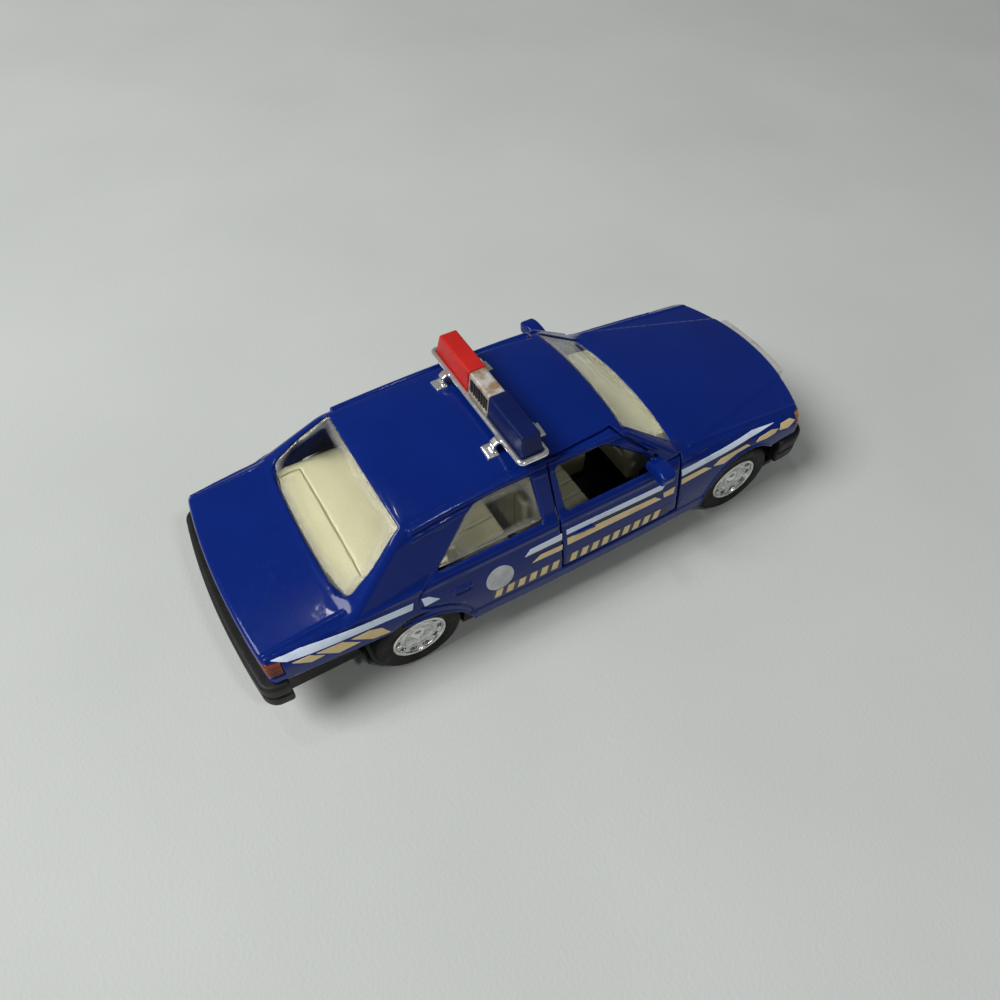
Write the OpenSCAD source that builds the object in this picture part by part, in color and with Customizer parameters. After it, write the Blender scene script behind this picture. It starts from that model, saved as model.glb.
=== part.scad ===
// Toy police car: a die-cast saloon with opening front doors, a roof light bar and a pull-back drive.
// X points to the nose, Y to the left side and Z up. The origin is on the ground under the middle.

/* [Body] */
// Length over both bumpers
car_l = 128.5; // [118:0.5:155]
// Width of the body at its widest
body_w = 46.8; // [39:0.2:50]
// Height of the top of the roof
roof_z = 37.4; // [36.4:0.2:39]
// Height of the foot of the side windows
belt_z = 25.4; // [25:0.1:25.8]
// Height of the lower edge of the body between the wheels
sill_z = 8.5; // [7.8:0.1:9.5]
// Height of the lower edge of the body before and behind the wheels
skirt_z = 16.4; // [15:0.1:17]
// Thickness of the cast wall
wall = 1.2; // [1:0.05:1.45]

/* [Bonnet and boot] */
// How far the bumpers stand out past the nose and the tail
bumper_out = 2; // [1:0.1:3]
// Height of the front edge of the bonnet
bonnet_z = 22.4; // [21.5:0.1:23.5]
// Height of the rear edge of the bonnet
cowl_z = 26.8; // [26:0.1:27.4]
// Height of the rear edge of the boot lid
boot_z = 23.5; // [22:0.1:24.5]

/* [Cabin] */
// Foot of the windscreen, forward of the middle
cowl_x = 27.2; // [26:0.2:28.4]
// Top of the windscreen, forward of the middle
screen_top_x = 13.2; // [12:0.2:14.4]
// Top of the rear window, forward of the middle
back_top_x = -32.6; // [-34:0.2:-31]
// Foot of the rear window, forward of the middle
back_foot_x = -45.9; // [-47:0.2:-44.6]
// How far the cabin's foot stands inside the widest line of the body
belt_set = 3.3; // [3.1:0.1:3.8]
// How far the cabin's side leans in from its foot to the drip rail
cabin_lean_in = 4.6; // [4:0.1:5]

/* [Wheels] */
// Distance between the axles
wheelbase = 76.3; // [72:0.1:80]
// Middle of the axles, forward of the middle of the car
axle_mid_x = 4.45; // [3.5:0.05:5.5]
// Radius of a tyre
tyre_r = 8.8; // [7.3:0.1:9.4]
// Width of a tyre
tyre_w = 6.2; // [5:0.1:6.6]
// Radius of a hubcap
rim_r = 5.6; // [4.6:0.1:6.4]
// Radius of both axles
axle_r = 1; // [0.8:0.05:1.2]
// How far a tyre's outer face stands inside the widest line of the body
wheel_set = 1.5; // [1.5:0.1:2.2]

/* [Doors] */
// Front edge of a door, forward of the middle
door_front_x = 24; // [23.6:0.1:24.6]
// Rear edge of a door, forward of the middle
door_rear_x = -3.1; // [-3.6:0.1:-2]
// Height of the lower edge of a door
door_foot_z = 11.5; // [11.2:0.1:13]
// Gap between a door and the body
door_gap = 0.3; // [0.25:0.01:0.4]
// How far the hinge stands behind the front edge of its door
hinge_set = 2.4; // [2:0.1:2.8]
// Radius of a hinge peg
peg_r = 0.6; // [0.5:0.05:0.65]

/* [Light bar] */
// Length of the chrome frame across the roof
bar_l = 33.2; // [28:0.2:38]
// Width of the chrome frame along the roof
bar_w = 6.4; // [5.6:0.1:7.4]
// Middle of the bar, forward of the middle of the car
bar_x = -7.2; // [-9:0.1:-5]
// Height of the lenses
lens_h = 4.6; // [3.5:0.1:5.5]

/* [Drive] */
// Tooth module of the gears
gear_module = 0.5; // [0.41:0.01:0.54]
// Teeth on the axle gear
drive_teeth = 10; // [10:1:11]
// Teeth on the idler gear
idler_teeth = 18; // [16:1:19]
// Teeth on the spring barrel
barrel_teeth = 24; // [20:1:25]
// Width of a gear's teeth
gear_w = 2.4; // [1.8:0.1:2.6]

/* [Hidden] */

// Steps on a circle: small bores, ordinary turned shapes and very large body curves
small_fn = 32;
turned_fn = 72;
bow_fn = 256;
$fn = turned_fn;
// Steps on a rounded corner
corner_steps = 5;
// How far a cutting shape runs past what it cuts, and how far joined shapes run into each other
over = 1;
far = 40;
lap = 1;

// Ends, axles and wheels
half_w = body_w / 2;
nose_x = car_l / 2 - bumper_out;
tail_x = -nose_x;
front_axle_x = axle_mid_x + wheelbase / 2;
rear_axle_x = axle_mid_x - wheelbase / 2;
axle_z = tyre_r;
tyre_face_y = half_w - wheel_set;
tyre_back_y = tyre_face_y - tyre_w;

// Bows of the body seen from above and from the end
side_bow_r = 1000;
side_bow_x = 4;
nose_bow_r = 52;
tail_bow_r = 140;
flank_r = 45;
flank_z = 9.5;
crown_r = 140;
deck_front_z = belt_z;

// Cabin: slopes, crowns and how deep it runs into the lower body
belt_y = half_w - belt_set;
cant_rise = 10.2;
cabin_lean = atan2(cabin_lean_in, cant_rise);
screen_drop = 0.98;
back_drop = 1.35;
screen_top_z = roof_z - screen_drop;
back_top_z = roof_z - back_drop;
screen_r = 92;
back_r = 119;
roof_arch_r = 230;
roof_crown_r = 75;
roof_peak_x = -8;
cabin_sink = 1;
cavity_sink = 3;
roof_over = 2;

// Wheel arches
front_arch_gap = 1.5;
front_arch_r = tyre_r + front_arch_gap;
rear_arch_gap = 2.6;
rear_arch_drop = 3.8;
rear_arch_r = tyre_r + rear_arch_gap;
arch_depth = 9;
house_gap = 0.5;
house_side_gap = 0.35;

// Window outlines
screen_foot_rise = 0.4;
screen_foot_in = 3.2;
screen_head_in = 6.4;
screen_foot_y = belt_y - screen_foot_in;
screen_head_y = belt_y - screen_head_in;
screen_head_set = 0.75;
window_steps = 6;
window_corner_r = 0.9;
window_back_run = 3;
window_front_run = 18;
back_foot_rise = 0.7;
back_foot_in = 4.5;
back_head_in = 6.7;
back_foot_y = belt_y - back_foot_in;
back_head_y = belt_y - back_head_in;
back_head_set = 0.95;
back_corner_r = 3;
quarter_foot_rise = 0.5;
quarter_rear_x = -28.4;
quarter_head_rear_x = -19.6;
quarter_head_mid_x = -17.4;
quarter_head_front_x = -7.6;
quarter_foot_front_x = -6.9;
quarter_head_rise = 9;
quarter_shoulder_rise = 8.6;

// Door outline above the belt, its window and its hinge
door_head_rise = 10.55;
door_head_rear_x = -3.9;
door_head_front_x = 10.7;
pillar_foot_rise = 2;
lip_drop = 0.1;
door_frame_w = 1.25;
door_window_head_rise = 8.7;
door_window_rise = 0.4;
door_window_front_x = 18;
door_window_step_rise = 2.6;
door_window_head_x = 8.8;
hinge_x = door_front_x - hinge_set;
hinge_foot_set = 2;
hinge_head_set = 4.9;
hinge_foot_z = 11;
hinge_head_z = 26.4;
hinge_foot_y = half_w - hinge_foot_set;
hinge_head_y = half_w - hinge_head_set;
hinge_lean = atan2(hinge_foot_y - hinge_head_y, hinge_head_z - hinge_foot_z);
pillar_set = 2.2;
pillar_foot_x = hinge_x - pillar_set;
flank_set = 1.9;
scoop_r = norm([pillar_set - door_gap, flank_set]) + door_gap;
lip_depth = 2.5;
lip_r = sqrt(hinge_set * hinge_set + lip_depth * lip_depth);
lip_top_z = belt_z - lip_drop;
knuckle_r = 1.3;
knuckle_set = 0.2;
peg_gap = 0.06;
peg_l = 1.2;
ear_t = 1.35;
ear_w = 3.2;
ear_gap = 0.35;
ear_depth = 2.4;
ear_out = 0.75;
handle_l = 3;
handle_h = 0.9;
handle_out = 0.55;
handle_z = 20.2;
handle_x = 1;
rear_handle_x = -26.4;

// Mirrors
mirror_x = 15.7;
mirror_l = 2.8;
mirror_in = 1;
mirror_in_y = belt_y - mirror_in;
mirror_out = 2.2;
mirror_neck_w = 1.5;
mirror_foot_rise = 0.5;
mirror_h = 3.4;
mirror_r = 0.8;

// Glazing
glass_gap = 0.1;
glass_t = 0.8;
glass_sink = 0.8;
glass_side_in = 6.7;
glass_side_y = belt_y - glass_side_in;
glass_side_gap = 0.9;
glass_ear_gap = 0.6;

// Base plate and bumpers
base_drop = 3.2;
base_z = axle_z - base_drop;
base_t = 1.6;
floor_z = base_z + base_t;
base_gap = 0.4;
base_inset = wall + base_gap;
base_end_set = 7.8;
base_end_x = car_l / 2 - base_end_set;
rim_h = 2.6;
rim_t = 1.2;
bumper_z = 9.6;
bumper_gap = 0.2;
bumper_top_z = skirt_z - bumper_gap;
bumper_side_out = 0.8;
bumper_wall = 1.6;
rear_bumper_l = 6.4;
front_bumper_l = 11.6;
skirt_inset = 0.9;
valance_l = 3;
valance_in = 6.4;
valance_half_w = half_w - valance_in;
well_gap = 0.9;
well_side_gap = 0.7;
bearing_t = 2;
bearing_set = 1.4;
bearing_half_l = 2.6;
bearing_over = 2.4;
run_gap = 0.06;

// Screws, the bosses on the base and the posts under the body
screw_r = 0.9;
screw_head_r = 1.8;
screw_head_h = 1;
screw_sink = 0.2;
screw_gap = 0.1;
screw_l = 8.5;
screw_cross_l = 2.3;
screw_cross_w = 0.45;
boss_r = 3;
boss_h = 2.6;
post_r = 2.3;
front_post_run = 6.4;
rear_post_run = 16.3;
front_post_x = front_axle_x + front_post_run;
rear_post_x = rear_axle_x - rear_post_run;
rear_post_in = 10.1;
rear_post_y = half_w - rear_post_in;
screw_places = [[front_post_x, 0], [rear_post_x, rear_post_y], [rear_post_x, -rear_post_y]];

// Seats
seat_in = 3.1;
seat_half_w = belt_y - seat_in;
seat_shell_t = 1.1;
shelf_drop = 1.9;
shelf_z = belt_z - shelf_drop;
shelf_back_x = -42.6;
bench_head_x = -25.4;
bench_head_z = 25;
bench_fold_x = -20.4;
bench_fold_z = 15.4;
bench_front_x = -10.4;
bench_front_z = 16.2;
tub_t = 0.9;
tub_top_z = 23.4;
tub_front_x = -5.4;
tunnel_h = 1.2;
chair_in_y = 1.9;
chair_in = 4.5;
chair_out_y = belt_y - chair_in;
chair_back_x = -7.4;
chair_head_x = -8.6;
chair_head_z = 26.2;
chair_head_l = 2.2;
chair_fold_x = -3.2;
chair_fold_z = 15.2;
chair_front_x = 8.4;
chair_front_z = 16.2;
chair_r = 0.8;

// Dashboard and steering wheel
dash_in = 5.5;
dash_half_w = belt_y - dash_in;
dash_back_x = 17.6;
dash_face_x = 17.1;
dash_front_x = 26.6;
dash_foot_z = 16.2;
dash_face_z = 23.6;
dash_lip_x = 18.2;
dash_drop = 0.2;
dash_top_z = belt_z - dash_drop;
dash_inset = 2.5;
dash_sink = 14;
dash_leg_x = 21.4;
dash_leg_l = 2;
dash_leg_in = 8.5;
dash_leg_y = belt_y - dash_leg_in;
dash_leg_w = 2;
wheel_rim_r = 3;
wheel_rim_t = 0.42;
column_r = 0.6;
column_l = 3.4;
column_seat = 1.6;
wheel_tilt = 77.5;
wheel_y = 8.6;
wheel_z = 21.2;
spoke_w = 0.8;
spoke_t = 0.5;

// Light bar
bar_gap = 1;
bar_z = roof_z + bar_gap;
rail_h = 1.1;
rail_t = 0.9;
tray_t = 0.5;
foot_y = 9.4;
foot_w = 3;
foot_l = 1.7;
foot_run = 1.1;
foot_t = 0.7;
foot_sink = 1.4;
pin_drop = 1.4;
pin_r = 0.55;
lens_foot_w = 4.3;
lens_head_w = 3.6;
lens_end_gap = 0.15;
lens_end_slope = 0.9;
siren_half_l = 3.5;
siren_set = 0.15;
siren_slots = 6;
siren_slot_w = 0.5;
siren_slot_d = 0.4;
siren_slot_h = 2.6;
siren_slot_z = 1;
lens_gap = 0.02;

// Front and rear lamps, cut as pieces of the skin
lamp_gap = 0.08;
grille_in = 13.6;
grille_half_w = half_w - grille_in;
grille_out = 0.9;
grille_z = 16.9;
grille_top_z = 21.7;
grille_slots = 5;
grille_slot_d = 0.8;
grille_edge = 0.7;
grille_slot_share = 0.6;
head_in = 13;
head_in_y = half_w - head_in;
head_out_in = 5.8;
head_out_y = half_w - head_out_in;
head_z = 17.2;
head_top_z = 21.3;
corner_in = 5.5;
corner_in_y = half_w - corner_in;
corner_back = 6;
tail_in = 11.9;
tail_in_y = half_w - tail_in;
tail_z = 17.4;
tail_top_z = 21.6;
tail_wrap = 4.4;

// Wheels
hub_set = 0.35;
hub_depth = 4.6;
hub_dish = 0.7;
hub_cap_r = 2.6;
hub_ring_share = 0.76;
hub_slots = 9;
hub_slot_l = 1.5;
hub_slot_w = 0.8;
hub_slot_d = 1.2;
tyre_shoulder_r = 0.9;
axle_end_set = 1.6;

// Drive: gear tooth shape, places of the shafts and the case round them
pressure_angle = 25;
addendum_share = 0.8;
dedendum_share = 1.15;
backlash = 0.09;
flank_steps = 4;
drive_r = gear_module * drive_teeth / 2;
idler_r = gear_module * idler_teeth / 2;
barrel_r = gear_module * barrel_teeth / 2;
tip = gear_module * addendum_share;
idler_angle = 120;
barrel_angle = 184;
idler_x = rear_axle_x + (drive_r + idler_r) * cos(idler_angle);
idler_z = axle_z + (drive_r + idler_r) * sin(idler_angle);
barrel_x = idler_x + (idler_r + barrel_r) * cos(barrel_angle);
barrel_z = idler_z + (idler_r + barrel_r) * sin(barrel_angle);
drive_phase = 0;
idler_phase = mesh_phase(drive_teeth, drive_phase, idler_angle, idler_teeth);
barrel_phase = mesh_phase(idler_teeth, idler_phase, barrel_angle, barrel_teeth);
gear_y = 1;
case_t = 1;
case_gap = 0.6;
case_in_y = 3.9;
case_back_y = -5;
case_base_gap = 0.3;
case_r = 2;
shaft_r = 0.8;
shaft_gap = 0.06;
idler_hub_r = 1.7;
hub_side_gap = 0.25;
drum_set = 0.125;
drum_r = barrel_r - gear_module * dedendum_share - drum_set;
drum_t = 0.5;
drum_back_y = -4.5;
spring_in_r = 1.55;
spring_gap = 0.09;
spring_turns = 4;
spring_t = 0.28;
spring_pitch = (drum_r - drum_t - spring_gap - spring_t - spring_in_r) / spring_turns;
spring_back_y = -4.2;
spring_steps = 22;
drive_slot_gap = 0.4;
motor_x0 = barrel_x - barrel_r - tip - case_gap - case_t;
motor_x1 = rear_axle_x + drive_r + tip + case_gap + case_t;
motor_z0 = base_z + case_base_gap;
motor_z1 = max(idler_z + idler_r, barrel_z + barrel_r) + tip + case_gap + case_t;
motor_hole_gap = 0.3;

// Angle of a tooth of the second gear that meshes with the first one, seen along the line of their centres
function mesh_phase(teeth_a, phase_a, angle, teeth_b) =
    angle + 180 - (0.5 - (angle - phase_a) * teeth_a / 360) * 360 / teeth_b;

// Points of an outline moved out by d, for an outline that runs anticlockwise
function unit(v) = v / norm(v);
function out_normal(a, b) = unit([b[1] - a[1], a[0] - b[0]]);
function grown_corner(p, n, m, d) = p + (n + m) * d / (1 + n * m);
function grown(pts, d) = [
    for (i = [0:len(pts) - 1])
        let (
            a = pts[(i + len(pts) - 1) % len(pts)],
            b = pts[(i + 1) % len(pts)],
        )
        grown_corner(pts[i], out_normal(a, pts[i]), out_normal(pts[i], b), d)
];

// Points of an outline with every corner rounded to radius r
function turn(a, b) = atan2(a[0] * b[1] - a[1] * b[0], a * b);
function corner_arc(p, u, v, r, c) =
    let (
        s = p + u * r / tan(acos(u * v) / 2) - c,
        e = p + v * r / tan(acos(u * v) / 2) - c,
        a0 = atan2(s[1], s[0]),
        sweep = turn(s, e)
    )
    [for (k = [0:corner_steps])
        let (at = a0 + sweep * k / corner_steps)
        c + r * [cos(at), sin(at)]];
function rounded(pts, r) = [
    for (i = [0:len(pts) - 1])
        let (
            p = pts[i],
            u = unit(pts[(i + len(pts) - 1) % len(pts)] - p),
            v = unit(pts[(i + 1) % len(pts)] - p),
            c = p + unit(u + v) * r / sin(acos(u * v) / 2)
        )
        each corner_arc(p, u, v, r, c)
];

// A shape drawn in X and Z, run across the car from y0 to y1
module across(y0, y1) {
    translate([0, y1, 0])
        rotate([90, 0, 0])
            linear_extrude(y1 - y0)
                children();
}

// A shape drawn in Y and Z, run along the car from x0 to x1
module along(x0, x1) {
    translate([x0, 0, 0])
        rotate([90, 0, 90])
            linear_extrude(x1 - x0)
                children();
}

// A box between two corners
module block(a, b) {
    translate(a)
        cube(b - a);
}

// A piece on one side: 1 keeps the left side, -1 mirrors it to the right
module on_side(side) {
    if (side > 0)
        children();
    else
        mirror([0, 1, 0])
            children();
}

// A round bar across the car at x, z, from y0 to y1
module bar_across(x, z, y0, y1, r) {
    translate([x, y1, z])
        rotate([90, 0, 0])
            cylinder(h = y1 - y0, r = r);
}

// Outline of the body from above, moved in by os at the sides and oe at the ends
module plan(os, oe) {
    intersection() {
        translate([side_bow_x, half_w - side_bow_r])
            circle(side_bow_r - os, $fn = bow_fn);
        translate([side_bow_x, side_bow_r - half_w])
            circle(side_bow_r - os, $fn = bow_fn);
        union() {
            translate([nose_x - nose_bow_r, 0])
                circle(nose_bow_r - oe, $fn = bow_fn);
            translate([tail_x - far, -far])
                square([far + nose_bow_r / 2, 2 * far]);
        }
        translate([tail_x + tail_bow_r, 0])
            circle(tail_bow_r - oe, $fn = bow_fn);
    }
}

module plan_block(os, oe, z0, z1) {
    translate([0, 0, z0])
        linear_extrude(z1 - z0)
            plan(os, oe);
}

// Everything under a crowned surface whose middle line runs through two points of the centre plane
module under_crown(a, b, r, o) {
    translate([a[0], 0, a[1]])
        rotate([0, atan2(a[1] - b[1], b[0] - a[0]), 0])
            translate([-car_l, 0, -r])
                rotate([0, 90, 0])
                    cylinder(h = 2 * car_l, r = r - o, $fn = bow_fn);
}

// Lower body as a solid, moved in by o; its foot is stepped outside and open for the cavity
function lower_foot(o) = o > 0
    ? [[tail_x - over, -over], [nose_x + over, -over]]
    : [[tail_x - over, skirt_z], [rear_axle_x, skirt_z], [rear_axle_x, sill_z],
        [front_axle_x, sill_z], [front_axle_x, skirt_z], [nose_x + over, skirt_z]];
function lower_top(o) = [[nose_x + over, cowl_z - o], [cowl_x, cowl_z - o],
    [back_foot_x, deck_front_z - o], [tail_x - over, deck_front_z - o]];

module lower(o) {
    intersection() {
        across(-far, far)
            polygon(concat(lower_foot(o), lower_top(o)));
        along(tail_x - far, nose_x + far)
            intersection() {
                translate([half_w - flank_r, flank_z])
                    circle(flank_r - o, $fn = bow_fn);
                translate([flank_r - half_w, flank_z])
                    circle(flank_r - o, $fn = bow_fn);
            }
        plan_block(o, o, -over, roof_z);
        under_crown([cowl_x, cowl_z], [nose_x, bonnet_z], crown_r, o);
        under_crown([tail_x, boot_z], [back_foot_x, deck_front_z], crown_r, o);
    }
}

// Cabin as a solid, moved in by o, with its foot sunk below the belt
module cabin(o, sink) {
    foot_y0 = belt_y + sink * tan(cabin_lean) - o / cos(cabin_lean);
    head_y0 = belt_y - (roof_z + roof_over - belt_z) * tan(cabin_lean) - o / cos(cabin_lean);
    intersection() {
        along(back_foot_x - far, cowl_x + far)
            polygon([[-foot_y0, belt_z - sink], [foot_y0, belt_z - sink],
                [head_y0, roof_z + roof_over], [-head_y0, roof_z + roof_over]]);
        translate([roof_peak_x, 0, roof_z - roof_arch_r])
            rotate([90, 0, 0])
                rotate_extrude($fn = bow_fn)
                    translate([roof_arch_r - roof_crown_r, 0])
                        circle(roof_crown_r - o, $fn = bow_fn);
        under_crown([screen_top_x, screen_top_z], [cowl_x, cowl_z], screen_r, o);
        under_crown([back_foot_x, deck_front_z], [back_top_x, back_top_z], back_r, o);
    }
}

module skin(t) {
    difference() {
        union() {
            lower(0);
            cabin(0, cabin_sink);
        }
        lower(t);
        cabin(t, cavity_sink);
    }
}

// Window outlines, with heads that follow the crown of the roof
function head_arc(y, z) = [
    for (i = [0:window_steps])
        let (at = y * (1 - 2 * i / window_steps))
        [at, z - at * at / (2 * roof_crown_r)]
];
function foot_arc(y, z) = [
    for (i = [0:window_steps])
        let (at = y * (2 * i / window_steps - 1))
        [at, z - at * at / (2 * crown_r)]
];

module screen_cut() {
    along(screen_top_x - window_back_run, cowl_x + window_front_run)
        polygon(concat(foot_arc(screen_foot_y, cowl_z + screen_foot_rise),
            head_arc(screen_head_y, screen_top_z - screen_head_set)));
}

module back_cut() {
    along(back_foot_x - window_front_run, back_top_x + window_back_run)
        union() {
            polygon(rounded([[-back_foot_y, belt_z + back_foot_rise],
                [back_foot_y, belt_z + back_foot_rise],
                [back_head_y, back_top_z - back_corner_r], [-back_head_y, back_top_z - back_corner_r]],
                back_corner_r));
            polygon(concat([[-back_foot_y, belt_z + 2 * back_corner_r],
                [back_foot_y, belt_z + 2 * back_corner_r]],
                head_arc(back_head_y, back_top_z - back_head_set)));
        }
}

function quarter_pts() = [[quarter_rear_x, belt_z + quarter_foot_rise],
    [quarter_foot_front_x, belt_z + quarter_foot_rise],
    [quarter_head_front_x, belt_z + quarter_head_rise],
    [quarter_head_mid_x, belt_z + quarter_head_rise],
    [quarter_head_rear_x, belt_z + quarter_shoulder_rise]];

// Door outline, its window, and the round front lip about the hinge
function door_pts() = [[door_rear_x, door_foot_z], [hinge_x, door_foot_z], [hinge_x, lip_top_z],
    [pillar_foot_x, lip_top_z], [pillar_foot_x, belt_z + pillar_foot_rise],
    [door_head_front_x, belt_z + door_head_rise], [door_head_rear_x, belt_z + door_head_rise]];
function door_window_pts() = [[door_rear_x + door_frame_w, belt_z + door_window_rise],
    [door_window_front_x, belt_z + door_window_rise],
    [door_window_front_x, belt_z + door_window_step_rise],
    [door_window_head_x, belt_z + door_window_head_rise],
    [door_head_rear_x + door_frame_w, belt_z + door_window_head_rise]];

// A bar along the leaning hinge axis of the left door, between two heights measured along the axis
module hinge_bar(r, from, to) {
    translate([hinge_x, hinge_foot_y, hinge_foot_z])
        rotate([hinge_lean, 0, 0])
            translate([0, 0, from])
                cylinder(h = to - from, r = r, $fn = small_fn);
}

function hinge_at(z) = (z - hinge_foot_z) / cos(hinge_lean);

// Turns a shape about the belt line so that its runs across the car lie square to the left hinge
module square_to_hinge() {
    translate([0, belt_y, belt_z])
        rotate([hinge_lean, 0, 0])
            translate([0, -belt_y, -belt_z])
                children();
}

module lip(r, z0, z1) {
    intersection() {
        hinge_bar(r, hinge_at(z0) - far, hinge_at(z1) + far);
        square_to_hinge()
            block([hinge_x - far, -far, z0], [hinge_x + far, far, z1]);
    }
}

// The left door's share of the skin, grown by d
module door_region(d) {
    square_to_hinge()
        across(half_w / 3, far)
            polygon(grown(door_pts(), d));
    lip(lip_r + d, door_foot_z - d, lip_top_z + d);
}

// Places of the two ears that hold a door's pegs
foot_ear_z = door_foot_z - ear_gap;
head_ear_z = lip_top_z + ear_gap;

module ears() {
    block([hinge_x - ear_w / 2, hinge_foot_y - ear_depth / 2, foot_ear_z - ear_t],
        [hinge_x + ear_w / 2, hinge_foot_y + ear_depth / 2, foot_ear_z]);
    block([hinge_x - ear_w / 2, hinge_head_y - ear_depth / 2, head_ear_z],
        [hinge_x + ear_w / 2, hinge_head_y + ear_out, head_ear_z + ear_t]);
}

// Boxes that cut the lamps out of the skin, on the left side
module headlamp_box(g) {
    block([nose_x - far / 4, head_in_y + g, head_z + g], [nose_x + over, head_out_y - g, head_top_z - g]);
}

module indicator_box(g) {
    block([nose_x - nose_bow_r + sqrt(nose_bow_r * nose_bow_r - corner_in_y * corner_in_y) - corner_back + g,
        corner_in_y + g, head_z + g], [nose_x + over, far, head_top_z - g]);
}

module tail_lamp_box(g) {
    block([tail_x - over, tail_in_y + g, tail_z + g], [tail_x + tail_wrap - g, far, tail_top_z - g]);
}

module grille_box(g) {
    block([nose_x - far / 4, g - grille_half_w, grille_z + g],
        [nose_x + far, grille_half_w - g, grille_top_z - g]);
}

// A raised pull handle that follows the flank, on the left side
module pull_handle(x, o) {
    intersection() {
        difference() {
            lower(-handle_out);
            lower(o);
        }
        block([x, half_w / 2, handle_z], [x + handle_l, far, handle_z + handle_h]);
    }
}

module arch_cuts() {
    for (side = [-1, 1])
        on_side(side) {
            bar_across(front_axle_x, axle_z, half_w - arch_depth, far, front_arch_r);
            bar_across(rear_axle_x, axle_z - rear_arch_drop, half_w - arch_depth, far, rear_arch_r);
            for (x = [front_axle_x, rear_axle_x])
                bar_across(x, axle_z, half_w - arch_depth, tyre_face_y + house_side_gap, tyre_r + house_gap);
        }
}

module foot_places() {
    for (side = [-1, 1], end = [-1, 1])
        translate([bar_x + end * (bar_w / 2 + foot_run + foot_l / 2), side * foot_y, 0])
            children();
}

module body_shell() {
    color("RoyalBlue")
        difference() {
            union() {
                difference() {
                    skin(wall);
                    screen_cut();
                    back_cut();
                    across(-far, far)
                        polygon(rounded(quarter_pts(), window_corner_r));
                    for (side = [-1, 1])
                        on_side(side) {
                            door_region(door_gap);
                            headlamp_box(0);
                            indicator_box(0);
                            tail_lamp_box(0);
                        }
                    grille_box(0);
                    arch_cuts();
                }
                for (side = [-1, 1])
                    on_side(side) {
                        ears();
                        pull_handle(rear_handle_x, wall / 2);
                    }
                intersection() {
                    for (p = screw_places)
                        translate([p[0], p[1], base_z + boss_h])
                            cylinder(h = roof_z, r = post_r);
                    lower(wall / 2);
                }
            }
            for (side = [-1, 1])
                on_side(side)
                    hinge_bar(peg_r + peg_gap, hinge_at(foot_ear_z - ear_t) - over,
                        hinge_at(head_ear_z + ear_t) + over);
            for (p = screw_places)
                translate([p[0], p[1], base_z])
                    cylinder(h = screw_l + over, r = screw_r, $fn = small_fn);
            foot_places()
                translate([0, 0, roof_z - far / 4])
                    cylinder(h = far / 2, r = pin_r, $fn = small_fn);
        }
}

// A front door on the left side, with its window frame, mirror, handle and hinge pegs
module door() {
    difference() {
        union() {
            intersection() {
                skin(wall);
                door_region(0);
            }
            hinge_bar(knuckle_r, hinge_at(door_foot_z + knuckle_set), hinge_at(lip_top_z - knuckle_set));
            pull_handle(handle_x, wall / 2);
        }
        across(half_w / 2, far)
            polygon(rounded(door_window_pts(), window_corner_r));
        lip(scoop_r, lip_top_z, lip_top_z + far);
    }
    hinge_bar(peg_r, hinge_at(foot_ear_z - peg_l), hinge_at(head_ear_z + peg_l));
    translate([mirror_x, 0, 0])
        along(0, mirror_l)
            polygon(rounded([
                [mirror_in_y, belt_z + mirror_foot_rise],
                [half_w + mirror_out, belt_z + mirror_foot_rise],
                [half_w + mirror_out, belt_z + mirror_foot_rise + mirror_h],
                [belt_y + mirror_neck_w, belt_z + mirror_foot_rise + mirror_h],
                [belt_y + mirror_neck_w / 2, belt_z + mirror_foot_rise + mirror_neck_w],
                [mirror_in_y, belt_z + mirror_foot_rise + mirror_neck_w]], mirror_r / 2));
}

module door_left() {
    color("MediumBlue")
        door();
}

module door_right() {
    color("MediumBlue")
        on_side(-1)
            door();
}

module glazing() {
    color("LightCyan", 0.5)
        difference() {
            cabin(wall + glass_gap, glass_sink);
            cabin(wall + glass_gap + glass_t, cavity_sink);
            for (side = [-1, 1])
                on_side(side) {
                    across(glass_side_y, far)
                        polygon(grown(door_pts(), glass_side_gap));
                    block([pillar_foot_x - glass_ear_gap, hinge_head_y - ear_depth / 2 - glass_ear_gap, 0],
                        [cowl_x + over, far, head_ear_z + ear_t + glass_ear_gap]);
                    block([pillar_foot_x - glass_ear_gap, hinge_head_y - lip_r - glass_ear_gap, 0],
                        [cowl_x + over, far, lip_top_z + door_gap]);
                }
        }
}

// Bearing posts for an axle on the base
module bearing_posts(x) {
    for (side = [-1, 1])
        on_side(side)
            block([x - bearing_half_l, tyre_back_y - bearing_set - bearing_t, base_z],
                [x + bearing_half_l, tyre_back_y - bearing_set, axle_z + bearing_over]);
}

module wheel_wells(x) {
    for (side = [-1, 1])
        on_side(side)
            bar_across(x, axle_z, tyre_back_y - well_side_gap, far, tyre_r + well_gap);
}

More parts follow.
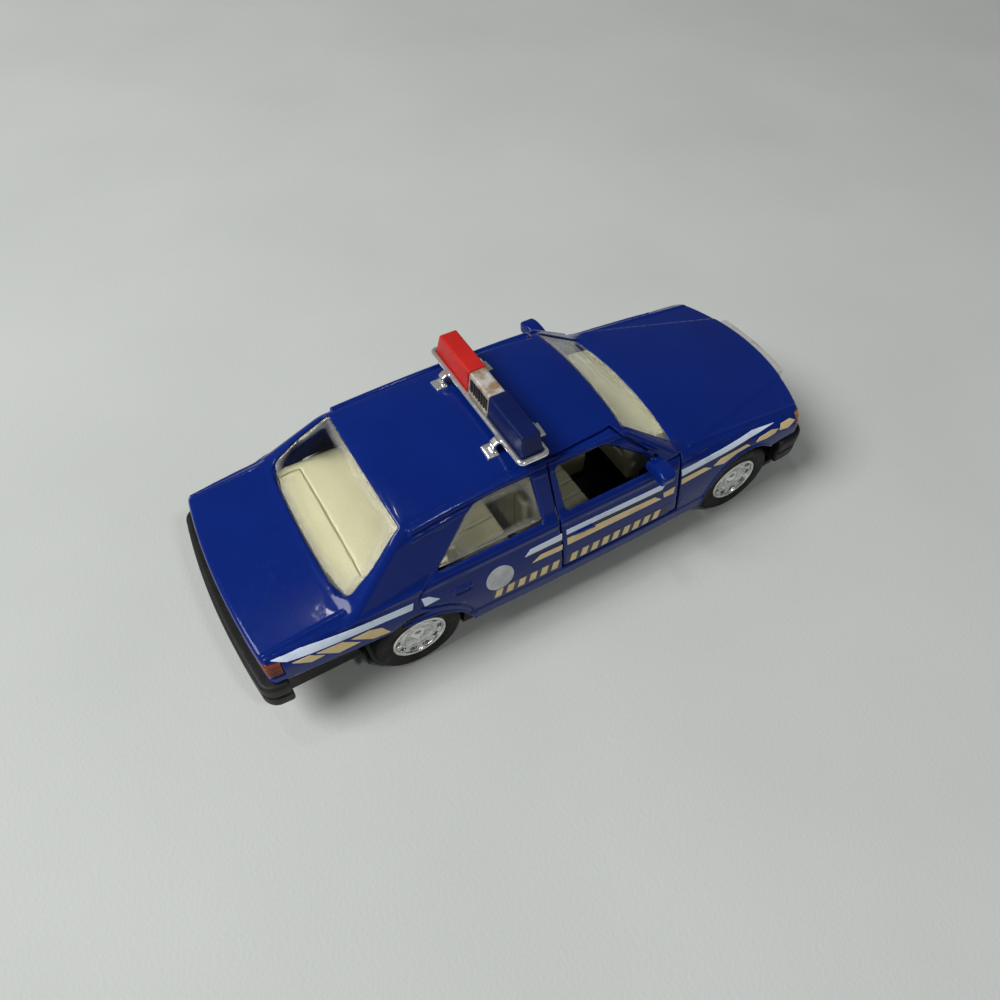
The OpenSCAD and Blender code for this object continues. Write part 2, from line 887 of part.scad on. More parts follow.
module base_plate() {
    front_end_x = car_l / 2 - front_bumper_l;
    rear_end_x = rear_bumper_l - car_l / 2;
    color("DimGray")
        difference() {
            union() {
                intersection() {
                    plan_block(base_inset, base_inset, base_z, floor_z);
                    block([-base_end_x, -far, base_z], [base_end_x, far, floor_z]);
                }
                intersection() {
                    difference() {
                        plan_block(base_inset, base_inset, base_z, floor_z + rim_h);
                        plan_block(base_inset + rim_t, base_inset + rim_t, base_z - over,
                            floor_z + rim_h + over);
                    }
                    block([rear_axle_x, -far, base_z], [front_axle_x, far, floor_z + rim_h]);
                }
                for (end = [-1, 1])
                    block([end * base_end_x - valance_l / 2, -valance_half_w, base_z],
                        [end * base_end_x + valance_l / 2, valance_half_w, bumper_z + bumper_wall]);
                difference() {
                    intersection() {
                        plan_block(-bumper_side_out, -bumper_out, bumper_z, bumper_top_z);
                        union() {
                            block([front_end_x, -far, 0], [car_l, far, roof_z]);
                            block([-car_l, -far, 0], [rear_end_x, far, roof_z]);
                        }
                    }
                    plan_block(bumper_wall, bumper_wall, bumper_z + bumper_wall, bumper_top_z + over);
                }
                intersection() {
                    difference() {
                        plan_block(skirt_inset, skirt_inset, bumper_z, bumper_top_z);
                        plan_block(skirt_inset + bumper_wall, skirt_inset, bumper_z - over,
                            bumper_top_z + over);
                    }
                    block([rear_end_x - lap, -far, bumper_z], [rear_axle_x, far, bumper_top_z]);
                }
                for (side = [-1, 1])
                    on_side(side)
                        block([rear_end_x - lap, valance_half_w - lap, base_z],
                            [rear_axle_x - tyre_r - well_gap - lap, valance_half_w + lap, bumper_z + lap]);
                for (side = [-1, 1])
                    on_side(side)
                        intersection() {
                            plan_block(skirt_inset + lap / 2, skirt_inset, bumper_z, bumper_z + bumper_wall);
                            block([rear_end_x - lap, valance_half_w - lap, bumper_z],
                                [rear_axle_x - tyre_r - well_gap - lap, far, bumper_z + bumper_wall]);
                        }
                bearing_posts(front_axle_x);
                bearing_posts(rear_axle_x);
                for (p = screw_places)
                    translate([p[0], p[1], base_z])
                        cylinder(h = boss_h, r = boss_r);
            }
            wheel_wells(front_axle_x);
            wheel_wells(rear_axle_x);
            bar_across(front_axle_x, axle_z, -far, far, axle_r + run_gap);
            bar_across(rear_axle_x, axle_z, -far, far, axle_r + run_gap);
            for (side = [-1, 1])
                on_side(side)
                    bar_across(front_axle_x, axle_z, half_w - arch_depth, far, front_arch_r);
            block([motor_x0 - motor_hole_gap, case_back_y - case_t - motor_hole_gap, base_z - over],
                [motor_x1 + motor_hole_gap, case_in_y + case_t + motor_hole_gap, motor_z1]);
            for (p = screw_places)
                translate([p[0], p[1], base_z]) {
                    translate([0, 0, -over])
                        cylinder(h = boss_h + 2 * over, r = screw_r + screw_gap, $fn = small_fn);
                    translate([0, 0, -over])
                        cylinder(h = over + screw_sink + screw_head_h, r = screw_head_r + screw_gap);
                }
        }
}

module base_screws() {
    color("Silver")
        for (p = screw_places)
            translate([p[0], p[1], base_z + screw_sink]) {
                difference() {
                    cylinder(h = screw_head_h, r = screw_head_r);
                    for (turned = [0, 90])
                        rotate([0, 0, turned])
                            cube([screw_cross_l, screw_cross_w, screw_head_h], center = true);
                }
                translate([0, 0, screw_head_h])
                    cylinder(h = screw_l - screw_sink - screw_head_h, r = screw_r, $fn = small_fn);
            }
}

module seat_unit() {
    bench = [[shelf_back_x, shelf_z - seat_shell_t], [bench_head_x - seat_shell_t, shelf_z - seat_shell_t],
        [bench_fold_x - 2 * seat_shell_t, bench_fold_z], [bench_fold_x - 2 * seat_shell_t, floor_z],
        [bench_front_x, floor_z], [bench_front_x, bench_front_z], [bench_fold_x, bench_fold_z],
        [bench_head_x + 2 * seat_shell_t, bench_head_z], [bench_head_x, bench_head_z],
        [bench_head_x - seat_shell_t, shelf_z], [shelf_back_x, shelf_z]];
    chair = [[chair_back_x, floor_z], [chair_front_x, floor_z], [chair_front_x, chair_front_z],
        [chair_fold_x, chair_fold_z], [chair_head_x + chair_head_l, chair_head_z],
        [chair_head_x, chair_head_z], [chair_back_x, chair_fold_z]];
    color("Cornsilk")
        union() {
            across(-seat_half_w, seat_half_w)
                polygon(bench);
            for (side = [-1, 1])
                on_side(side) {
                    across(chair_in_y, chair_out_y)
                        polygon(rounded(chair, chair_r / 2));
                    block([bench_fold_x, seat_half_w - tub_t, floor_z],
                        [tub_front_x, seat_half_w, tub_top_z]);
                }
            block([bench_front_x - lap, -seat_half_w, floor_z],
                [chair_back_x + lap, seat_half_w, floor_z + tunnel_h]);
        }
}

module dashboard() {
    color("Wheat")
        difference() {
            union() {
                intersection() {
                    across(-dash_half_w, dash_half_w)
                        polygon([[dash_back_x, dash_foot_z], [dash_front_x, dash_foot_z],
                            [dash_front_x, dash_top_z], [dash_lip_x, dash_top_z],
                            [dash_face_x, dash_face_z]]);
                    cabin(dash_inset, dash_sink);
                }
                for (side = [-1, 1])
                    on_side(side)
                        block([dash_leg_x, dash_leg_y, floor_z],
                            [dash_leg_x + dash_leg_l, dash_leg_y + dash_leg_w, dash_foot_z + lap]);
            }
            steering_place()
                cylinder(h = column_l, r = column_r, $fn = small_fn);
        }
}

// The steering wheel's frame: its axis points from the rim down into the dashboard
module steering_place() {
    translate([dash_face_x - column_seat, wheel_y, wheel_z])
        rotate([0, 180 - wheel_tilt, 0])
            children();
}

module steering_wheel() {
    color("Tan")
        steering_place() {
            rotate_extrude()
                translate([wheel_rim_r, 0])
                    circle(wheel_rim_t, $fn = small_fn);
            for (turned = [0, 120, 240])
                rotate([0, 0, turned])
                    translate([0, -spoke_w / 2, -spoke_t / 2])
                        cube([wheel_rim_r, spoke_w, spoke_t]);
            translate([0, 0, -spoke_t / 2])
                cylinder(h = column_l + spoke_t / 2, r = column_r, $fn = small_fn);
        }
}

// One bent foot of the light bar: a strip from the rail, a leg down and a toe on the roof
module bar_foot(end) {
    near = end * (bar_w / 2 - rail_t / 2);
    mid = end * (bar_w / 2 + foot_run);
    bent = mid - end * foot_t;
    out = mid + end * foot_l;
    foot_z = bar_z - foot_sink - lap;
    block([min(near, mid), -foot_w / 2, bar_z], [max(near, mid), foot_w / 2, bar_z + foot_t]);
    block([min(bent, mid), -foot_w / 2, foot_z], [max(bent, mid), foot_w / 2, bar_z + foot_t]);
    block([min(bent, out), -foot_w / 2, foot_z], [max(bent, out), foot_w / 2, bar_z - foot_sink + foot_t]);
}

module light_bar_frame() {
    color("Gainsboro") {
        difference() {
            block([bar_x - bar_w / 2, -bar_l / 2, bar_z], [bar_x + bar_w / 2, bar_l / 2, bar_z + rail_h]);
            block([bar_x - bar_w / 2 + rail_t, rail_t - bar_l / 2, bar_z + tray_t],
                [bar_x + bar_w / 2 - rail_t, bar_l / 2 - rail_t, bar_z + rail_h + over]);
        }
        difference() {
            union() {
                for (side = [-1, 1], end = [-1, 1])
                    translate([bar_x, side * foot_y, 0])
                        bar_foot(end);
            }
            cabin(0, cabin_sink);
        }
        foot_places()
            translate([0, 0, bar_z - foot_sink - pin_drop])
                cylinder(h = pin_drop + foot_t / 2, r = pin_r, $fn = small_fn);
    }
}

// A stretch of the lens section across the roof between y0 and y1, smaller by s all round
module lens_run(y0, y1, s) {
    z0 = bar_z + tray_t;
    translate([bar_x, 0, 0])
        across(y0, y1)
            polygon([[s - lens_foot_w / 2, z0], [lens_foot_w / 2 - s, z0],
                [lens_head_w / 2 - s, z0 + lens_h - s], [s - lens_head_w / 2, z0 + lens_h - s]]);
}

// The left lens: a run of the section with a sloping outer end
module lens() {
    z0 = bar_z + tray_t;
    end_y = bar_l / 2 - rail_t - lens_end_gap;
    intersection() {
        lens_run(siren_half_l + lens_gap, end_y, 0);
        along(bar_x - bar_w, bar_x + bar_w)
            polygon([[0, z0 - over], [end_y, z0 - over], [end_y, z0 + rail_h],
                [end_y - lens_end_slope, z0 + lens_h], [0, z0 + lens_h]]);
    }
}

module red_lens() {
    color("Red")
        lens();
}

module blue_lens() {
    color("Navy")
        on_side(-1)
            lens();
}

module siren_block() {
    pitch = 2 * siren_half_l / siren_slots;
    color("Silver")
        difference() {
            lens_run(-siren_half_l, siren_half_l, siren_set);
            for (i = [0:siren_slots - 1], end = [-1, 1])
                translate([bar_x + end * lens_foot_w / 2, (i + 0.5) * pitch - siren_half_l,
                    bar_z + tray_t + siren_slot_z + siren_slot_h / 2])
                    cube([2 * siren_slot_d + siren_set, siren_slot_w, siren_slot_h], center = true);
        }
}

module grille() {
    slot_run = grille_top_z - grille_z - 2 * grille_edge;
    pitch = slot_run / grille_slots;
    color("LightGray")
        difference() {
            intersection() {
                difference() {
                    plan_block(0, -grille_out, grille_z, grille_top_z);
                    plan_block(wall, wall, grille_z - over, grille_top_z + over);
                }
                grille_box(lamp_gap);
            }
            for (i = [0:grille_slots - 1])
                intersection() {
                    difference() {
                        plan_block(0, -far, grille_z, grille_top_z);
                        plan_block(0, grille_slot_d - grille_out, grille_z - over, grille_top_z + over);
                    }
                    block([0, grille_edge - grille_half_w, grille_z + grille_edge + i * pitch],
                        [car_l, grille_half_w - grille_edge,
                            grille_z + grille_edge + (i + grille_slot_share) * pitch]);
                }
        }
}

module headlamp_left() {
    color("AliceBlue")
        intersection() {
            skin(wall);
            headlamp_box(lamp_gap);
        }
}

module headlamp_right() {
    color("AliceBlue")
        on_side(-1)
            intersection() {
                skin(wall);
                headlamp_box(lamp_gap);
            }
}

module indicator_left() {
    color("Orange")
        intersection() {
            skin(wall);
            indicator_box(lamp_gap);
        }
}

module indicator_right() {
    color("Orange")
        on_side(-1)
            intersection() {
                skin(wall);
                indicator_box(lamp_gap);
            }
}

module tail_lamp_left() {
    color("OrangeRed")
        intersection() {
            skin(wall);
            tail_lamp_box(lamp_gap);
        }
}

module tail_lamp_right() {
    color("OrangeRed")
        on_side(-1)
            intersection() {
                skin(wall);
                tail_lamp_box(lamp_gap);
            }
}

module axle(x) {
    color("Silver")
        bar_across(x, axle_z, axle_end_set - tyre_face_y, tyre_face_y - axle_end_set, axle_r);
}

// A tyre on the left side: a ring with rounded shoulders
module tyre(x) {
    profile = rounded([[rim_r, 0], [tyre_r, 0], [tyre_r, tyre_w], [rim_r, tyre_w]], tyre_shoulder_r);
    color("Black")
        translate([x, tyre_face_y, axle_z])
            rotate([90, 0, 0])
                rotate_extrude()
                    intersection() {
                        polygon(concat([[rim_r, 0]], [for (p = profile) if (p[0] > (rim_r + tyre_r) / 2) p],
                            [[rim_r, tyre_w]]));
                        translate([rim_r, 0])
                            square([tyre_r, tyre_w]);
                    }
}

// A hubcap on the left side: a dished disc with a ring of slots, a raised middle and a sleeve on the axle
module hub(x) {
    ring_r = rim_r * hub_ring_share;
    color("White")
        translate([x, tyre_face_y - hub_set, axle_z])
            rotate([90, 0, 0])
                difference() {
                    rotate_extrude()
                        polygon([[0, hub_dish / 2], [hub_cap_r, hub_dish / 2],
                            [hub_cap_r + hub_dish, hub_dish], [ring_r, hub_dish / 2],
                            [rim_r - hub_dish, 0], [rim_r, 0], [rim_r, hub_depth], [rim_r - hub_dish, hub_depth],
                            [rim_r - hub_dish, 2 * hub_dish + hub_slot_d],
                            [2 * axle_r, 2 * hub_dish + hub_slot_d],
                            [2 * axle_r, hub_depth], [0, hub_depth]]);
                    translate([0, 0, axle_end_set - hub_set])
                        cylinder(h = hub_depth, r = axle_r);
                    for (i = [0:hub_slots - 1])
                        rotate([0, 0, i * 360 / hub_slots])
                            translate([ring_r, 0, 0])
                                cube([hub_slot_w, hub_slot_l, 2 * hub_slot_d], center = true);
                }
}

module front_axle() {
    axle(front_axle_x);
}

module front_tyre_left() {
    tyre(front_axle_x);
}

module front_tyre_right() {
    on_side(-1)
        tyre(front_axle_x);
}

module front_hub_left() {
    hub(front_axle_x);
}

module front_hub_right() {
    on_side(-1)
        hub(front_axle_x);
}

module rear_axle() {
    axle(rear_axle_x);
}

module rear_tyre_left() {
    tyre(rear_axle_x);
}

module rear_tyre_right() {
    on_side(-1)
        tyre(rear_axle_x);
}

module rear_hub_left() {
    hub(rear_axle_x);
}

module rear_hub_right() {
    on_side(-1)
        hub(rear_axle_x);
}

// Outline of a gear: involute flanks from the root to the tip, with a tooth centred on the phase angle
function involute(rb, r) = let (t = sqrt(max(0, r * r / (rb * rb) - 1))) t * 180 / PI - atan(t);
function gear_pts(teeth, phase) =
    let (
        r = gear_module * teeth / 2,
        rb = r * cos(pressure_angle),
        ra = r + gear_module * addendum_share,
        rf = r - gear_module * dedendum_share,
        r0 = max(rb, rf),
        half = 90 / teeth - backlash / 2 / r * 180 / PI + involute(rb, r)
    )
    [for (i = [0:teeth - 1])
        let (mid = phase + i * 360 / teeth)
        each concat(
            [rf * [cos(mid - half), sin(mid - half)]],
            [for (k = [0:flank_steps])
                let (q = r0 + (ra - r0) * k / flank_steps, a = mid - half + involute(rb, q))
                q * [cos(a), sin(a)]],
            [for (k = [flank_steps:-1:0])
                let (q = r0 + (ra - r0) * k / flank_steps, a = mid + half - involute(rb, q))
                q * [cos(a), sin(a)]],
            [rf * [cos(mid + half), sin(mid + half)]])];

module gear(x, z, teeth, phase) {
    translate([x, 0, z])
        across(gear_y, gear_y + gear_w)
            polygon(gear_pts(teeth, phase));
}

module drive_gear() {
    color("Ivory")
        difference() {
            gear(rear_axle_x, axle_z, drive_teeth, drive_phase);
            bar_across(rear_axle_x, axle_z, -far, far, axle_r);
        }
}

module idler_gear() {
    color("Ivory")
        difference() {
            union() {
                gear(idler_x, idler_z, idler_teeth, idler_phase);
                bar_across(idler_x, idler_z, case_back_y + hub_side_gap, case_in_y - hub_side_gap,
                    idler_hub_r);
            }
            bar_across(idler_x, idler_z, -far, far, shaft_r + shaft_gap);
        }
}

module spring_barrel() {
    color("Khaki")
        difference() {
            union() {
                gear(barrel_x, barrel_z, barrel_teeth, barrel_phase);
                difference() {
                    bar_across(barrel_x, barrel_z, drum_back_y, gear_y + gear_w / 2, drum_r);
                    bar_across(barrel_x, barrel_z, drum_back_y - over, gear_y, drum_r - drum_t);
                }
                bar_across(barrel_x, barrel_z, gear_y, case_in_y - hub_side_gap, idler_hub_r);
            }
            bar_across(barrel_x, barrel_z, -far, far, shaft_r + shaft_gap);
        }
}

// A flat spiral strip inside the barrel
module mainspring() {
    count = spring_turns * spring_steps;
    inner = [for (i = [0:count])
        let (a = i * 360 / spring_steps, r = spring_in_r + spring_pitch * i / spring_steps)
        r * [cos(a), sin(a)]];
    outer = [for (i = [count:-1:0])
        let (a = i * 360 / spring_steps, r = spring_in_r + spring_t + spring_pitch * i / spring_steps)
        r * [cos(a), sin(a)]];
    color("SlateGray")
        translate([barrel_x, 0, barrel_z])
            across(spring_back_y, gear_y)
                polygon(concat(inner, outer));
}

module motor_pins() {
    color("Silver") {
        bar_across(idler_x, idler_z, case_back_y - case_t, case_in_y + case_t, shaft_r);
        bar_across(barrel_x, barrel_z, case_back_y - case_t, case_in_y + case_t, shaft_r);
    }
}

function case_pts() = [[motor_x0, motor_z0], [motor_x1, motor_z0],
    [motor_x1, motor_z1], [motor_x0, motor_z1]];

module motor_case() {
    color("Black")
        difference() {
            across(case_back_y, case_in_y + case_t)
                polygon(rounded(case_pts(), case_r));
            across(case_back_y - over, case_in_y)
                polygon(rounded(grown(case_pts(), -case_t), case_r - case_t));
            bar_across(rear_axle_x, axle_z, -far, far, axle_r + run_gap);
            bar_across(idler_x, idler_z, -far, far, shaft_r);
            bar_across(barrel_x, barrel_z, -far, far, shaft_r);
            bar_across(rear_axle_x, axle_z, case_back_y - over, case_in_y, drive_r + tip + drive_slot_gap);
        }
}

module motor_cover() {
    color("DarkSlateGray")
        difference() {
            across(case_back_y - case_t, case_back_y)
                polygon(rounded(case_pts(), case_r));
            bar_across(rear_axle_x, axle_z, -far, far, axle_r + run_gap);
            bar_across(idler_x, idler_z, -far, far, shaft_r);
            bar_across(barrel_x, barrel_z, -far, far, shaft_r);
        }
}

body_shell();
door_left();
door_right();
glazing();
base_plate();
seat_unit();
dashboard();
steering_wheel();
light_bar_frame();
red_lens();
blue_lens();
siren_block();
grille();
headlamp_left();
headlamp_right();
indicator_left();
indicator_right();
tail_lamp_left();
tail_lamp_right();
base_screws();
front_axle();
front_tyre_left();
front_tyre_right();
front_hub_left();
front_hub_right();
rear_axle();
rear_tyre_left();
rear_tyre_right();
rear_hub_left();
rear_hub_right();
drive_gear();
idler_gear();
spring_barrel();
mainspring();
motor_pins();
motor_case();
motor_cover();
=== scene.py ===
import math
from functools import reduce

import bmesh
import bpy
import numpy as np
import openvdb
from mathutils import Matrix, Vector


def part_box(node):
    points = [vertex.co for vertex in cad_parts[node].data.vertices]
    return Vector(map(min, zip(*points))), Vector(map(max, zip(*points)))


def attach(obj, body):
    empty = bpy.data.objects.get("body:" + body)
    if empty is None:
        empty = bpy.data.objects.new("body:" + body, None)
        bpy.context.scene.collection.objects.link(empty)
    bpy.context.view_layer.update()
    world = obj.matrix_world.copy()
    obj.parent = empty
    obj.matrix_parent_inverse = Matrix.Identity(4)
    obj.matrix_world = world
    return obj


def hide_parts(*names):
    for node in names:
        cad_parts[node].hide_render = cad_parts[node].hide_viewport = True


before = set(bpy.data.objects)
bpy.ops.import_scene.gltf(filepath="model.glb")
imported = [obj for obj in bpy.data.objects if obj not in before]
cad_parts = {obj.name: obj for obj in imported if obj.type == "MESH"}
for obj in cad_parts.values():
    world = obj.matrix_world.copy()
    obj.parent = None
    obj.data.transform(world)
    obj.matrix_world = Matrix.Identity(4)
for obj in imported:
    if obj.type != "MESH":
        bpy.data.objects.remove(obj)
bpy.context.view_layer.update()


# Base plate: one black plastic moulding with the floor, both bumpers and the wheel wells, screwed up
# into the body from below. It is drawn as a field of distances, in millimetres, and meshed at zero.
MM = 0.001
HALF_W, NOSE_X, TAIL_X = 23.4, 62.25, -62.25
SIDE_BOW_R, SIDE_BOW_X, NOSE_BOW_R, TAIL_BOW_R = 1000.0, 4.0, 52.0, 140.0
FRONT_AXLE_X, REAR_AXLE_X, AXLE_Z = 42.6, -33.7, 8.8
BASE_Z, FLOOR_Z, BASE_INSET, BASE_END_X = 5.6, 7.2, 1.6, 56.45
BUMPER_Z, BUMPER_TOP_Z, BUMPER_WALL, BUMPER_SIDE, BUMPER_OUT = 9.6, 16.2, 1.6, 0.8, 2.0
BUMPER_CORNER, BUMPER_ROUND, GROOVE_LOW, GROOVE_HIGH, GROOVE_DEEP = 2.2, 0.9, 12.6, 13.2, 0.3
FRONT_BUMPER_X, REAR_BUMPER_X, VALANCE_Y, VALANCE_HALF, NARROW_X = 52.65, -57.85, 17.0, 1.5, -44.0
RIM_WALL, RIM_H, SKIRT_IN, SKIRT_END_X, LEDGE_IN, LEDGE_Y, LEDGE_X = 1.2, 2.6, 4.2, -45.0, 4.4, 16.0, -44.4
WEB_Y, POST_HALF, POST_LOW_Y, POST_HIGH_Y, POST_RISE, AXLE_BORE_R = 18.0, 2.6, 12.3, 14.3, 3.4, 1.06
WELL_R, WELL_Y, ARCH_R, ARCH_Y, MOTOR_ROOM, MOTOR_HOLE_Z = 9.7, 15.0, 10.3, 14.4, 0.3, 25.0
RIB_PITCH, RIB_SHIFT, RIB_HALF, RIB_DEEP, RIB_Y, RIB_X = 10.0, 2.0, 0.35, 0.35, 9.0, (-18.0, 30.0)
SCREW_PLACES = [(49.0, 0.0), (-50.0, 13.3), (-50.0, -13.3)]
BOSS_R, BOSS_H, SCREW_SEAT_R, SCREW_SEAT_H = 3.0, 2.6, 1.9, 1.2
FAR = 9.0


def samples(low, high, step):
    """Open X, Y and Z axes, in millimetres, of an even grid that covers a box."""
    axes = []
    for start, end in zip(low, high):
        count = int(math.ceil((end - start) / step)) + 1
        axes.append(np.float32(start) + np.float32(step) * np.arange(count, dtype=np.float32))
    return np.ix_(*axes)


def meet(a, b, r):
    """What two solids share, with their edge rounded to r."""
    return np.minimum(np.maximum(a, b), -r) + np.hypot(np.maximum(a + r, 0), np.maximum(b + r, 0))


def join(a, b, r):
    """Two solids as one, with a fillet of r between them."""
    return -meet(-a, -b, r)


def less(a, b, r):
    """A solid with another cut out of it, the edge rounded to r."""
    return meet(a, -b, r)


def common(*solids):
    """What several solids share, with sharp edges."""
    return reduce(np.maximum, solids)


def either(*solids):
    """Several solids as one, with sharp corners between them."""
    return reduce(np.minimum, solids)


def slab(axis, low, high):
    return np.maximum(low - axis, axis - high)


def every(value, pitch):
    """Distance from the nearest of a row of lines a pitch apart."""
    return np.abs((value + pitch / 2) % pitch - pitch / 2)


def cuboid(x, y, z, low, high, r):
    """A box between two corners, all its edges rounded to r."""
    qx = slab(x, low[0] + r, high[0] - r)
    qy = slab(y, low[1] + r, high[1] - r)
    qz = slab(z, low[2] + r, high[2] - r)
    out = np.sqrt(np.maximum(qx, 0) ** 2 + np.maximum(qy, 0) ** 2 + np.maximum(qz, 0) ** 2)
    return out + np.minimum(common(qx, qy, qz), 0) - r


def read_field(field, at):
    """The field at points given in steps of its grid, weighed between the eight nearest samples."""
    low = np.clip(np.floor(at).astype(np.int64), 0, np.array(field.shape) - 2)
    part = (at - low).astype(np.float32)
    value = np.zeros(len(at), np.float32)
    for i in (0, 1):
        for j in (0, 1):
            for k in (0, 1):
                share = np.abs(1 - i - part[:, 0]) * np.abs(1 - j - part[:, 1]) * np.abs(1 - k - part[:, 2])
                value += share * field[low[:, 0] + i, low[:, 1] + j, low[:, 2] + k]
    return value


def slope(field, at, reach):
    """The field's gradient at those points, and how much it bends outwards there."""
    middle = read_field(field, at)
    rise, bend = [], -6 * middle
    for axis in range(3):
        shift = np.zeros(3)
        shift[axis] = reach
        ahead, behind = read_field(field, at + shift), read_field(field, at - shift)
        rise.append((ahead - behind) / (2 * reach))
        bend = bend + ahead + behind
    return np.stack(rise, axis=1), bend / reach ** 2


def shown(name, data):
    """A new object of a mesh, lamp or camera, linked to the scene."""
    made = bpy.data.objects.new(name, data)
    bpy.context.scene.collection.objects.link(made)
    return made


def solid(name, axes, field, coarse=0.05):
    """A closed mesh where the field passes zero, with smooth normals and its bend marked: outer edges for
    wear, hollows for painted shade.
    """
    settle_reach, normal_reach, edge_reach, most_move, least_rise = 0.5, 0.6, 1.5, 0.4, 0.05
    low = np.array([axis.ravel()[0] for axis in axes], np.float64)
    step = float(axes[0].ravel()[1] - axes[0].ravel()[0])
    field = np.array(np.broadcast_to(field, [axis.size for axis in axes]), np.float32, order="C")
    grid = openvdb.FloatGrid(FAR)
    grid.copyFromArray(field)
    points, triangles, quads = grid.convertToPolygons(0.0, coarse)
    points = points.astype(np.float64)
    for _ in range(2):
        rise = slope(field, points, settle_reach)[0]
        size = np.maximum((rise ** 2).sum(axis=1), least_rise * step * step)
        move = read_field(field, points)[:, None] * rise / size[:, None]
        points -= np.clip(move, -most_move, most_move)
    rise = slope(field, points, normal_reach)[0]
    bend = slope(field, points, edge_reach)[1]
    rise /= np.maximum(np.linalg.norm(rise, axis=1), 1e-9)[:, None]
    first = quads if len(quads) else triangles
    a, b, c = (points[first[:, i]] for i in range(3))
    facing = (np.cross(b - a, c - a) * rise[first[:, 0]]).sum()
    faces = triangles.tolist() + quads.tolist()
    if facing < 0:
        faces = [face[::-1] for face in faces]
    mesh = bpy.data.meshes.new(name)
    mesh.from_pydata(((low + step * points) * MM).tolist(), [], faces)
    mesh.validate()
    mesh.shade_smooth()
    mesh.normals_split_custom_set_from_vertices(rise.tolist())
    edge = mesh.attributes.new("edge", "FLOAT", "POINT")
    edge.data.foreach_set("value", np.clip(bend / step, -1, 1).astype(np.float32))
    return shown(name, mesh)


def add_node(tree, kind, inputs, settings):
    """A node of a tree, with its settings. An input that is given a socket is linked to it."""
    made = tree.nodes.new(kind)
    for name, value in settings.items():
        setattr(made, name, value)
    for key, value in dict(inputs).items():
        if isinstance(value, bpy.types.NodeSocket):
            tree.links.new(value, made.inputs[key])
        else:
            made.inputs[key].default_value = value
    return made


def put(material, kind, inputs=(), **settings):
    return add_node(material.node_tree, "ShaderNode" + kind, inputs, settings)


def finish(name, values):
    """A material of one Principled shader. A value that is a function of the material gives a socket."""
    made = bpy.data.materials.new(name)
    made.use_nodes = True
    shader = made.node_tree.nodes["Principled BSDF"]
    for key, value in values.items():
        if callable(value):
            made.node_tree.links.new(value(made), shader.inputs[key])
        else:
            shader.inputs[key].default_value = value
    return made


def grain(scale, low, high, out_low=0.0, out_high=1.0, detail=4.0):
    """Noise of a given scale, its range from low to high spread over the given output range."""
    def build(material):
        place = put(material, "TexCoord").outputs["Object"]
        noise = put(material, "TexNoise", {"Vector": place, "Scale": scale, "Detail": detail})
        spread = {"Value": noise.outputs["Fac"], "From Min": low, "From Max": high,
                  "To Min": out_low, "To Max": out_high}
        return put(material, "MapRange", spread).outputs["Result"]
    return build


def wear_and_shade_mask(low, high, scale, patchy):
    """A mask of how much a surface bends, broken up by noise. Over a range where it bends out it marks worn
    outer edges; over one where it bends in it marks painted shade in its hollows.
    """
    def build(material):
        edge = put(material, "Attribute", attribute_name="edge").outputs["Fac"]
        spread = {"Value": edge, "From Min": low, "From Max": high}
        share = put(material, "MapRange", spread).outputs["Result"]
        broken = grain(scale, 0.5 - patchy, 0.5 + patchy)(material)
        return put(material, "Math", {0: share, 1: broken}, operation="MULTIPLY").outputs["Value"]
    return build


def tint(share, first, second):
    """One colour, or what another function gives, going over to a second one by a share."""
    def build(material):
        mix = put(material, "Mix", data_type="RGBA")
        for index, value in ((0, share), (6, first), (7, second)):
            if callable(value):
                material.node_tree.links.new(value(material), mix.inputs[index])
            else:
                mix.inputs[index].default_value = (*value, 1.0)
        return mix.outputs[2]
    return build


def dents(height, strength, distance):
    """A normal bent by a height that another function gives; the distance is in metres."""
    def build(material):
        inputs = {"Height": height(material), "Strength": strength, "Distance": distance}
        return put(material, "Bump", inputs).outputs["Normal"]
    return build


def mottled(name, patches, first, second, gloss, values=(), edge_wear_and_hollow_shade=None):
    """A material whose colour drifts from one to another in patches, its roughness in finer ones. The last
    argument gives a range of bend and the colour that shows there: worn colour on outer edges, painted shade
    in hollows."""
    colour = tint(grain(*patches), first, second)
    if edge_wear_and_hollow_shade:
        where, wear_and_shade_colour = edge_wear_and_hollow_shade
        colour = tint(wear_and_shade_mask(*where), colour, wear_and_shade_colour)
    scale, smooth, rough = gloss
    roughness = grain(scale, 0.3, 0.7, smooth, rough)
    return finish(name, {"Base Color": colour, "Roughness": roughness, **dict(values)})


def dressed(piece, material, body, slot=None, *nodes):
    """Gives a piece its material, the body it rides on and the nodes that it stands for. The slot, a finish's
    name, is not used.
    """
    piece.data.materials.clear()
    piece.data.materials.append(material)
    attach(piece, body)
    if nodes:
        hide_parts(*nodes)
    return piece


def body_ends(x, y):
    """The bowed nose and tail, seen from above."""
    nose = np.where(x > 20, np.hypot(x - (NOSE_X - NOSE_BOW_R), y) - NOSE_BOW_R, np.float32(-30))
    return common(nose, np.hypot(x - (TAIL_X + TAIL_BOW_R), y) - TAIL_BOW_R)


def body_side(x, y):
    return np.abs(y) - HALF_W + (x - SIDE_BOW_X) ** 2 / (2 * SIDE_BOW_R)


def node_box(name):
    """A CAD node's lowest and highest corners, in millimetres."""
    return [[1000 * v for v in corner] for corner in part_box(name)]


